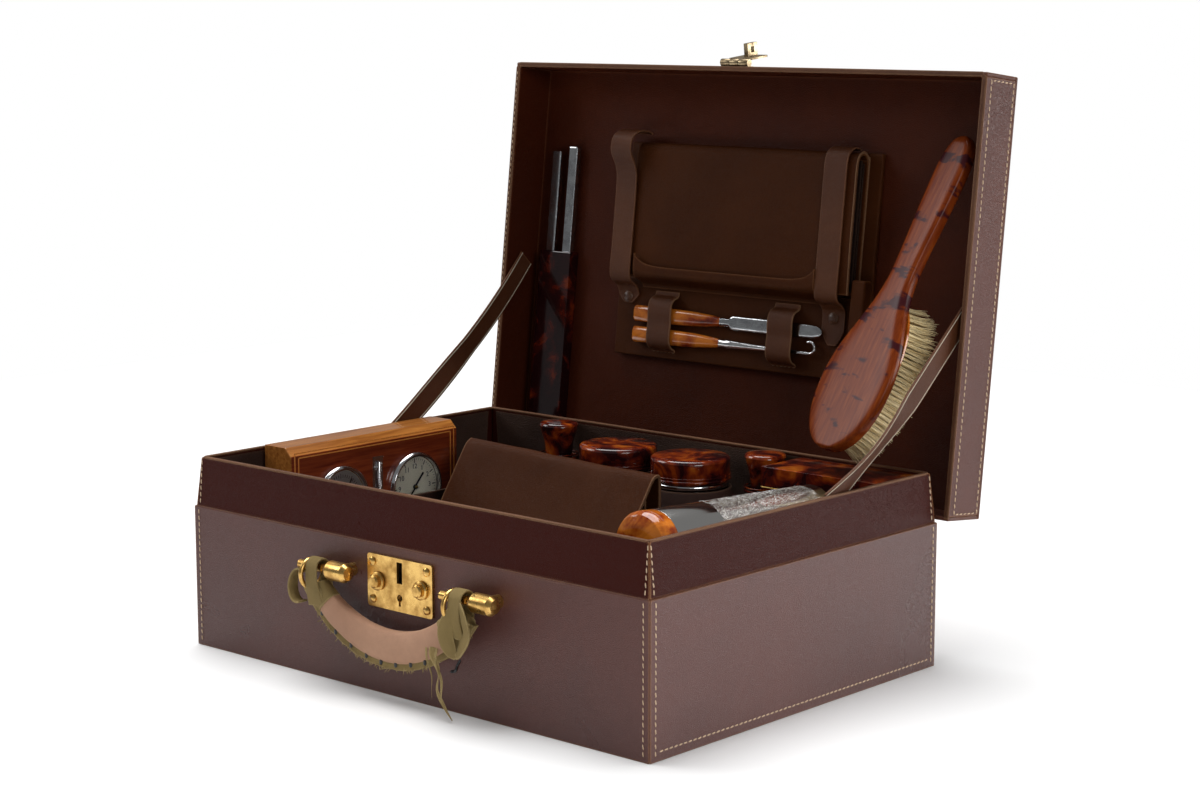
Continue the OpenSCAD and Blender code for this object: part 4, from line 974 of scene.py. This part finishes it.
# %% [markdown]
# The folded case in the middle is stiff hide, bent over a ridge. Its flap is one sheet with
# pale cut edges, and a near-black pouch sits inside it, a little short at the right end; its
# colour is painted shade for the dark gap at that end.

# %% Folded case
def tipped(points):
    """The case leans down to the right by 1.3 degrees about its left end's ridge."""
    return (points - [-140, 0, 128]) @ rotation(1, 1.3).T + [-140, 0, 128]


flap = smooth_path([[8.3, 45], [8.2, 54], [8.6, 60.8], [18, 76.5], [30, 95], [41, 112], [48, 122.6],
                    [52, 126.6], [56, 127.8], [59, 126.4], [60.6, 121], [61.2, 108], [61.8, 88],
                    [61.8, 60]], 90)
slope = np.gradient(flap, axis=0)
slope /= np.linalg.norm(slope, axis=1, keepdims=True)
inward = stack(slope[:, 1], -slope[:, 0])
x = np.linspace(-140, 40, 70)[:, None]
s = np.arange(90)[None, :]
wave = crumple(x, s * 2.0, 31, 0.9, 1.1) - 0.9 * np.exp(-((s - 30) / 16.0) ** 2)
outer_y, outer_z = flap[:, 0] - inward[:, 0] * wave, flap[:, 1] - inward[:, 1] * wave
outer_face = stack(x, outer_y, outer_z)
inner_face = stack(x, outer_y + 2.2 * inward[:, 0], outer_z + 2.2 * inward[:, 1])
new_piece("case_flap", "pouch", WALLET_LEATHER, [shell(outer_face, inner_face)],
          ("folded_case",), 50, tipped)
middle = (outer_face + inner_face) / 2
cut_edges = [sweep(stack(end, middle[row, :, 1], middle[row, :, 2]),
                   flat_section(0.9, 2.3, 14, 3.0), (1, 0, 0))
             for row, end in ((0, -140.1), (-1, 40.1))]
new_piece("case_cut_edges", "pouch", EDGE_LEATHER, cut_edges, place=tipped)


def inset_ring(inset):
    """The flap's outline drawn in by a distance: each point moves along its inward normal."""
    return (flap + inset * inward)[4:86]


ring = inset_ring(4.2)
ends = np.concatenate([np.linspace(-138.5, -136, 4), np.linspace(-130, 22, 12),
                       np.linspace(27.5, 29, 4)])
# The pouch's near-black colour is painted shade for the gap at the case's right end.
pouch = skin(stack(ends[:, None], ring[None, :, 0], ring[None, :, 1]))
new_piece("inner_pouch", "pouch", DARK_LEATHER_AND_SHADE, [pouch], place=tipped)
inner_lip = np.column_stack([np.full(78, 29.2), inset_ring(4.6)[2:80]])
new_piece("inner_pouch_edge", "pouch", EDGE_LEATHER,
          [sweep(inner_lip, flat_section(1.0, 1.4, 14, 3.0), (1, 0, 0))], place=tipped)

# %% [markdown]
# The writing wallet hangs on the lid. A board carries it, with a band across its foot, two
# closing straps with snaps, loops for the nail tools, and a pocket at the right. The wallet
# itself is a cover folded over at the top with leaves of paper inside.

# %% Writing wallet
def up_and_out(profile, low, high, thick, columns, lift):
    """A sheet whose profile (up, out) runs along the rows, from x = low to high."""
    profile = np.asarray(profile, float)
    step = np.gradient(profile, axis=0)
    step /= np.linalg.norm(step, axis=1, keepdims=True)
    normal = stack(-step[:, 1], step[:, 0])
    x = np.linspace(low, high, columns)[None, :]
    rise = lift(x, profile[:, :1])
    front = stack(x, profile[:, :1] + normal[:, :1] * rise, profile[:, 1:] + normal[:, 1:] * rise)
    rear = stack(x, front[..., 1] - normal[:, :1] * thick, front[..., 2] - normal[:, 1:] * thick)
    return shell(front, rear)


cover_path = smooth_path([[144.8, 4.5], [180, 4.4], [236, 4.5], [242, 6.0], [245.2, 9.2],
                          [245.6, 13], [242.8, 17], [236, 18.9], [215, 19.2], [180, 19.3],
                          [144.8, 18.2]], 110)[::-1]
cover = up_and_out(cover_path, -99, 105, 1.7, 70,
                   lambda a, b: crumple(a, b, 41, 0.35, 1.3) * np.clip((b - 146) / 8, 0, 1))
new_piece("wallet_flap", "wallet", WALLET_LEATHER, [cover], ("wallet_cover",), 50, on_lid)
leaves = [soft_box((-96, 147 + k % 2, 7.0 + 1.75 * k),
                   (101.5 + e, 240.5 - abs(k - 2.5), 8.35 + 1.75 * k), 0.4, 6)
          for k, e in enumerate((1.6, -0.5, 2.2, 0.4, 1.9, -0.8))]
new_piece("wallet_leaves", "wallet", PAPER, [leaves[k] for k in (1, 3)], ("wallet_papers",),
          place=on_lid)
new_piece("wallet_dividers", "wallet", DARK_LEATHER_AND_SHADE, [leaves[k] for k in (0, 2, 4, 5)],
          place=on_lid)
# The pale bead on the flap's end is partly its cut edge and partly a painted highlight along that
# edge.
flap_end = np.column_stack([np.full(110, 105.0), cover_path])
new_piece("wallet_flap_edge", "wallet", EDGE_LEATHER,
          [sweep(flap_end, flat_section(0.7, 1.8, 12, 3.0), (1, 0, 0))], place=on_lid)
board = [soft_box((-118, 84, 0.2), (116, 246, 4.0), 1.3, 12),
         soft_box((-118, 84, 3.6), (116, 143, 7.0), 1.2, 12)]
pocket = soft_box((106.8, 100, 7.6), (118.6, 156, 17.0), 1.6, 6)
new_piece("wallet_pocket", "wallet", WALLET_LEATHER, [pocket], place=on_lid)
new_piece("wallet_back", "lid", WALLET_LEATHER, board, ("wallet_board",), place=on_lid)
foot = smooth_path([[137, 7.6], [140.5, 9.4], [143.2, 15.5], [145.5, 20.6], [149, 21.4],
                    [152.6, 21.6]], 40)[::-1]
foot_band = up_and_out(foot, -92, 78, 1.3, 90, lambda a, b: crumple(a, b, 43, 0.15, 2))
grow = lambda p: stack(p[:, 0], p[:, 1] + np.clip((p[:, 1] - 143) / 9, 0, 1)
                       * 9 * np.exp(-np.minimum(p[:, 0] + 92, 78 - p[:, 0]) / 7), p[:, 2])
new_piece("wallet_foot_band", "lid", WALLET_LEATHER, [moved(foot_band, grow)], (), 50, on_lid)

# %% [markdown]
# The straps and loops are flat bands on paths in the plane of up and out. The left strap has
# sprung loose at its top and curls forward.

# %% Wallet straps, snaps and tool loops
left_path = smooth_path([[123.6, 8.0], [131, 8.2], [137, 12], [144, 20.6], [170, 20.9], [214, 21],
                         [226, 23.5], [237, 30], [247, 29.5], [253, 22], [254, 12],
                         [252.5, 6]], 110)
right_path = smooth_path([[108, 8.1], [120, 8.0], [132, 8.6], [137, 13], [143.5, 20.5], [170, 20.8],
                          [225, 20.9], [239, 20.5], [245, 18.2], [248.4, 13], [248.6, 8],
                          [247.6, 5]], 110)
strap_parts = []
for x, path in ((-106, left_path), (88, right_path)):
    path = np.column_stack([np.full(len(path), x), path])
    taper = np.sqrt(np.clip((np.arange(110) + 1.2) / 10, 0.05, 1))
    rings, faces = sweep(path, flat_section(20, 1.6, 30, 6.0), (1, 0, 0))
    narrow = np.concatenate([np.repeat(taper, 30), [taper[0], 1]])
    strap_parts.append((stack(x + (rings[:, 0] - x) * narrow, rings[:, 1], rings[:, 2]), faces))
new_piece("wallet_strap_bands", "lid", STRAP_LEATHER, strap_parts, ("wallet_straps",),
          place=on_lid)
DOME = [(4.5, 0), (4.5, 0.5), (4.0, 1.1), (3.4, 1.3), (3.1, 1.5), (2.9, 2.2), (2.0, 2.7),
        (0.7, 2.85)]
new_piece("wallet_snap_caps", "lid", SNAP, [lathe(DOME, None, (x, up, 8.6), 32)
          for x, up in ((-106, 128.4), (88, 127.6))], ("strap_snaps",), place=on_lid)
loop_path = smooth_path([[134.5, 7.4], [131.0, 8.6], [128.6, 13.2], [124.5, 15.6], [118, 15.9],
                         [110.5, 15.3], [103, 15.8], [96.5, 15.2], [92.6, 12.4], [91.0, 8.8],
                         [89.6, 7.4]], 70)[::-1]
loop_parts, loop_edges, loop_seams = [], [], []
for x in (-68, 46):
    path = np.column_stack([np.full(70, float(x)), loop_path])
    loop_parts.append(sweep(path, flat_section(22, 1.5, 30, 6.0), (1, 0, 0)))
    for end in (-11, 11):
        loop_edges.append(sweep(path + [end, 0, 0], flat_section(0.6, 1.3, 10, 3.0), (1, 0, 0)))
    loop_seams.append(seam([x - 11, 89.2, 7.1], [x + 11, 89.2, 7.1], [0, 0, 1], 3.4, 2.6, 0.9))
new_piece("tool_loop_bands", "lid", STRAP_LEATHER, loop_parts, ("tool_loops",), place=on_lid)
new_piece("tool_loop_edges", "lid", EDGE_LEATHER, loop_edges, place=on_lid)
new_piece("tool_loop_stitches", "lid", PALE_THREAD, loop_seams, place=on_lid)

# %% [markdown]
# The nail tools have broad oval handles of amber tortoiseshell with a steel ferrule. The file
# has a flat blade with a round end, and the button hook a tapered shank with a crook.

# %% Nail tools
def tool_shape(stations, up):
    """Rings along x: at each station a superellipse of its half width and half thickness."""
    stations = np.asarray(stations, float)
    wave = flat_section(2, 2, 28, 2.6)
    return skin(stack(stations[:, :1], up + stations[:, 1:2] * wave[:, 0],
                      10.7 + stations[:, 2:] * wave[:, 1]))


def tool_handle(low, wide):
    """(x, half width, half thickness) of a handle: a square butt, then a slow taper."""
    return [(low, wide * 0.9, 2.6), (low + 1.2, wide, 3.2), (low + 30, wide * 0.98, 3.3),
            (low + 60, wide * 0.86, 3.0), (low + 76, wide * 0.66, 2.7), (low + 84, wide * 0.5, 2.4)]


FILE_UP, HOOK_UP, TOOL_LEFT = 116.4, 100.6, -95.7
for name, body, wide, up in (("file", "file", 6.3, FILE_UP), ("hook", "button_hook", 6.2, HOOK_UP)):
    new_piece(name + "_grip", body, AMBER_SHELL, [tool_shape(tool_handle(TOOL_LEFT, wide), up)],
              (name + "_handle",), 50, on_lid)
start = TOOL_LEFT + 83.5
file_steel = np.array([(0, 3.5, 2.5), (7, 3.0, 2.3), (8, 2.6, 1.9), (9, 4.4, 0.7), (11, 5.0, 0.6),
                       (50, 5.0, 0.6), (84, 4.6, 0.6), (90, 3.4, 0.5), (92.3, 1.2, 0.4)])
hook_steel = np.array([(0, 3.2, 2.4), (6, 2.8, 2.2), (8, 3.6, 2.6), (12, 3.0, 2.2),
                       (30, 2.2, 1.6), (55, 1.5, 1.2), (83, 1.1, 1.0)])
new_piece("file_steel", "file", STEEL, [tool_shape(file_steel + [start, 0, 0], FILE_UP)],
          ("file_blade",), 50, on_lid)
crook_turn = np.linspace(-np.pi / 2, np.pi / 2 + 0.5, 24)
crook = stack(start + 83 + 4.2 * np.cos(crook_turn), HOOK_UP + 4.2 + 4.2 * np.sin(crook_turn), 10.7)
new_piece("hook_steel", "button_hook", CHROME, [tool_shape(hook_steel + [start, 0, 0], HOOK_UP),
          sweep(crook, flat_section(2.0, 2.0, 12, 2.0), (0, 0, 1))], ("hook_shank",), 50, on_lid)

# %% [markdown]
# The clock set's face is red mahogany with fine orange lines let into it. Two dials sit in
# bright bezels. One carries the hours, with plain numerals, and the other a pressure scale.

# %% Clock set
FACE_X = -171.9
(cy, cz), (gy, gz) = (26.5, 92.0), (-46.5, 92.0)


def on_face(points):
    """Points (right, up, out) of the clock's front, which looks along +X with +Y to its right."""
    return stack(FACE_X + points[..., 2], points[..., 0], points[..., 1])


def bars(centres, angles, lengths, widths, out, thick=0.12):
    """Flat bars: each is a box of eight corners, turned by its angle in the plane of the face."""
    centres, angles = np.asarray(centres, float), np.asarray(angles, float)
    cube = np.array([[a, b, c] for c in (0, 1) for b in (-0.5, 0.5) for a in (-0.5, 0.5)])
    count = len(centres)
    along = np.broadcast_to(lengths, count)[:, None] * cube[None, :, 0]
    over = np.broadcast_to(widths, count)[:, None] * cube[None, :, 1]
    right = centres[:, :1] + along * np.cos(angles)[:, None] - over * np.sin(angles)[:, None]
    up = centres[:, 1:] + along * np.sin(angles)[:, None] + over * np.cos(angles)[:, None]
    points = stack(right, up, out + thick * cube[None, :, 2]).reshape(-1, 3)
    quads = np.array([[0, 2, 3, 1], [4, 5, 7, 6], [0, 1, 5, 4], [2, 6, 7, 3], [0, 4, 6, 2],
                      [1, 3, 7, 5]])
    return points, [(quads + 8 * np.arange(count)[:, None, None]).reshape(-1, 4)]


def frame_lines(low, high, out):
    """The four sides of a rectangle as thin bars."""
    (a, b), (c, d) = low, high
    middle = [((a + c) / 2, b), ((a + c) / 2, d), (a, (b + d) / 2), (c, (b + d) / 2)]
    return bars(middle, [0, 0, np.pi / 2, np.pi / 2], [c - a, c - a, d - b, d - b], 0.9, out)


inlay = [frame_lines((-88.5, 44), (68.5, 132.0), 0.0),
         frame_lines((-85.0, 47.5), (65.0, 128.5), 0.0)]
new_piece("face_inlay", "clock", INLAY, inlay, place=on_face)
angle = np.arange(60) * np.pi / 30
major = np.arange(60) % 5 == 0
radius = np.where(major, 19.6, 20.6)
tick_at = stack(cy + radius * np.sin(angle), cz + radius * np.cos(angle))
ticks = bars(tick_at, np.pi / 2 - angle, np.where(major, 3.4, 1.3), np.where(major, 0.7, 0.25),
             0.75)
sweep_angle = np.linspace(-2.3, 2.3, 41)
gauge_at = stack(gy + 18.2 * np.sin(sweep_angle), gz + 18.2 * np.cos(sweep_angle))
gauge = bars(gauge_at, np.pi / 2 - sweep_angle, np.where(np.arange(41) % 5 == 0, 4.0, 2.2), 0.4,
             0.75)
needle = bars([[gy + 3, gz + 5]], [1.0], [25], [0.9], 1.6, 0.4)


def numeral(number, size, place):
    """A number as a thin solid: Blender's built-in font, made a mesh and then set in place."""
    curve = bpy.data.curves.new("numeral", "FONT")
    curve.body, curve.size, curve.extrude = str(number), size, 0.05
    curve.align_x, curve.align_y = "CENTER", "CENTER"
    text = new_object("numeral", curve)
    bpy.context.view_layer.update()
    drawn = text.evaluated_get(bpy.context.evaluated_depsgraph_get())
    mesh = bpy.data.meshes.new_from_object(drawn)
    flat = np.empty(3 * len(mesh.vertices))
    mesh.vertices.foreach_get("co", flat)
    mesh.calc_loop_triangles()
    corners = np.empty(3 * len(mesh.loop_triangles), np.int32)
    mesh.loop_triangles.foreach_get("vertices", corners)
    bpy.data.objects.remove(text)
    points = flat.reshape(-1, 3) + [*place, 0.8]
    merged, numbers = np.unique(points.round(5), axis=0, return_inverse=True)
    return merged, [numbers.ravel()[corners.reshape(-1, 3)]]


numbers = [numeral(n, 5.2, (cy + 15.2 * math.sin(n * math.pi / 6),
                            cz + 15.2 * math.cos(n * math.pi / 6))) for n in range(1, 13)]
new_piece("dial_marks", "clock", INK_AND_HOLE_SHADE, [ticks, gauge, needle] + numbers, (), 20, on_face)


def disc(right, up, radius, out, thick):
    """A dial plate: a profile spun about the face's own outward direction."""
    profile = [(radius, out), (radius, out + thick), (radius * 0.5, out + thick)]
    turn = np.array([[0, 0, 1.0], [1, 0, 0], [0, 1, 0]])
    return lathe(profile, turn, (FACE_X, right, up), 48)


new_piece("gauge_plate", "clock", GAUGE, [disc(gy, gz, 22.4, 0.55, 0.18)])
new_piece("dial_hub", "clock", BRASS, [disc(cy, cz, 1.1, 1.9, 1.4), disc(gy, gz, 1.6, 1.6, 1.6)])

# %% [markdown]
# The hairbrush has a back of streaked tortoiseshell with a lens-shaped section, and boar
# bristles set in tufts. Each bristle is a thin pointed prism, leaning further out the nearer
# it is to the edge.

# %% Hairbrush
BRUSH_TURN = rotation(2, -21.2) @ rotation(0, 62) @ rotation(1, 5)
BRUSH_PLACE = np.array([150.2, 95.6, 151.1])
on_brush = lambda points: points @ BRUSH_TURN.T + BRUSH_PLACE


def brush_half(t):
    """Half the width at t from the head's end: round head, eased neck, then the handle's end."""
    ease = lambda q: (1 - np.cos(np.pi * np.clip(q, 0, 1))) / 2
    head = 35 * np.sqrt(np.maximum(0, 1 - np.maximum(0, 1 - t / 50) ** 2.4))
    neck = 35 + (11.7 - 35) * ease((t - 50) / 82)
    grip = 11.7 + 2.9 * ease((t - 132) / 72)
    end = 14.6 * np.sqrt(np.maximum(0, 1 - np.clip((t - 204) / 30, 0, 1) ** 2.4))
    return np.where(t < 50, head, np.where(t < 132, neck, np.where(t < 204, grip, end)))


t = np.concatenate([50 * (1 - np.cos(np.linspace(0.03, np.pi / 2, 26))), np.linspace(52, 204, 60),
                    204 + 30 * np.sin(np.linspace(0.05, np.pi / 2 - 0.03, 22))])
half = brush_half(t)[:, None]
spin = np.linspace(0, 2 * np.pi, 64, endpoint=False)[None]
c, s = np.cos(spin), np.sin(spin)
deep = np.minimum(1, half / 9) ** 0.6
x = half * np.sign(c) * np.abs(c) ** 0.36
z = -5 + deep * np.where(s > 0, 4.9 * np.abs(s) ** 0.6, -4.9 * np.abs(s) ** 0.45)
BRUSH_SHELL = brush_shell(BRUSH_TURN, BRUSH_PLACE)
new_piece("brush_shell", "brush", BRUSH_SHELL, [skin(stack(x, t[:, None], z))],
          ("brush_back",), 60, on_brush)
tuft_x, tuft_y = np.meshgrid(np.linspace(-0.95, 0.95, 17), np.linspace(-0.97, 0.97, 31))
keep = tuft_x ** 2 + tuft_y ** 2 < 0.97
tufts = stack(tuft_x[keep] * 27, 59 + tuft_y[keep] * 51)
draw = np.random.default_rng(12)
PER_TUFT = 11
base = np.repeat(tufts, PER_TUFT, 0) + draw.normal(0, 0.5, (len(tufts) * PER_TUFT, 2))
count = len(base)
fan = (base - [0, 59]) * [0.16, 0.10] + draw.normal(0, 1.15, (count, 2))
drop = 27.5 - 3.0 * draw.random(count)
axis_points = [np.column_stack([base + fan * lift, -9.6 - drop * share])
               for share, lift in ((0.0, 0.0), (0.55, 0.42), (0.97, 1.0))]
angle = np.arange(3) * 2 * np.pi / 3 + draw.uniform(0, 2, (count, 1))
ring = stack(np.cos(angle), np.sin(angle), 0)
strand = np.stack([point[:, None] + ring * width
                   for point, width in zip(axis_points, (0.36, 0.32, 0.09))], 1)
j, k = np.arange(3), (np.arange(3) + 1) % 3
quads = stack(j, k, k + 3, j + 3)
quads = np.concatenate([quads, quads + 3])
ends = np.array([[2, 1, 0], [6, 7, 8]])
shift = (np.arange(count) * 9)[:, None, None]
bristles = strand.reshape(-1, 3), [(quads + shift).reshape(-1, 4), (ends + shift).reshape(-1, 3)]
new_piece("bristle_tufts", "brush", BRISTLE, [bristles], ("brush_bristles",), place=on_brush)
pad_turn = np.linspace(0, 2 * np.pi, 60, endpoint=False)
pad = np.stack([stack(29.5 * r * np.cos(pad_turn), 59 + 54 * r * np.sin(pad_turn), h)
                for r, h in ((1, -9.2), (1, -10.6), (0.97, -11.2))])
new_piece("bristle_pad", "brush", AMBER_SHELL, [skin(pad)], place=on_brush)

# %% [markdown]
# Jars and bottles have turned lids: a soft shoulder over a crown, and two thin hoops near the
# foot. A bright collar sits where a jar's lid meets its glass, the tube's cap has two fine
# ridges, and a brass bead runs round the long box.

# %% Turned details
def hoop(radius, height, thick, place, turn_by=None):
    """A ring round Z: a circle of the radius that carries a small round-cornered section."""
    angle = np.linspace(0, 2 * np.pi, 72, endpoint=False)
    circle = stack(radius * np.cos(angle), radius * np.sin(angle), 0)
    up = np.array([0.0, 0.0, 1.0])
    if turn_by is not None:
        circle, up = circle @ turn_by.T, turn_by @ up
    return sweep(circle + np.asarray(place, float), flat_section(height, thick, 14, 2.5), up,
                 closed_path=True)


for name, body, x, y, radius, low, high in (
        ("left_jar_turning", "jar_lid_left", -40, 106, 28.2, 113.1, 129.5),
        ("right_jar_turning", "jar_lid_right", 30, 104, 28.2, 113.1, 129.5),
        ("left_cap_turning", "left_bottle_cap", -117, 125.8, 14.5, 106.6, 134.2),
        ("right_cap_turning", "right_bottle_cap", 80, 125.8, 14.5, 106.6, 134.2)):
    crown = [(radius - 0.8, high - 2.6), (radius + 0.15, high - 2.4), (radius - 0.2, high - 0.9),
             (radius - 1.5, high + 0.05), (radius * 0.62, high + 0.2), (radius * 0.2, high + 0.28)]
    new_piece(name, body, JAR_SHELL, [lathe(crown, None, (x, y, 0), 72),
                                      hoop(radius, 1.8, 1.3, (x, y, low + 1.4)),
                                      hoop(radius, 0.9, 0.8, (x, y, low + 3.9))], sharp=60)
new_piece("jar_collars", "case", CHROME, [hoop(26.3, 3.4, 2.2, (x, y, 110.4))
                                          for x, y in ((-40, 106), (30, 104))])
CAP_TURN = rotation(0, -92.8)
TUBE_AXIS = CAP_TURN @ [0, 0, 1]
new_piece("cap_ridges", "cap", AMBER_SHELL, [
    hoop(20.9, 1.1, 0.5, np.array([178.9, -125.5, 123.5]) + reach * TUBE_AXIS, CAP_TURN)
    for reach in (7.4, 9.6)], sharp=60)
corner_path = round_rectangle(50.1, 22.6, 2.8) + [148, 119.2]
new_piece("long_box_beading", "case", BRASS, [sweep(np.column_stack([corner_path,
          np.full(36, 117.2)]), flat_section(0.7, 0.8, 12, 3.0), (0, 0, 1), closed_path=True)])
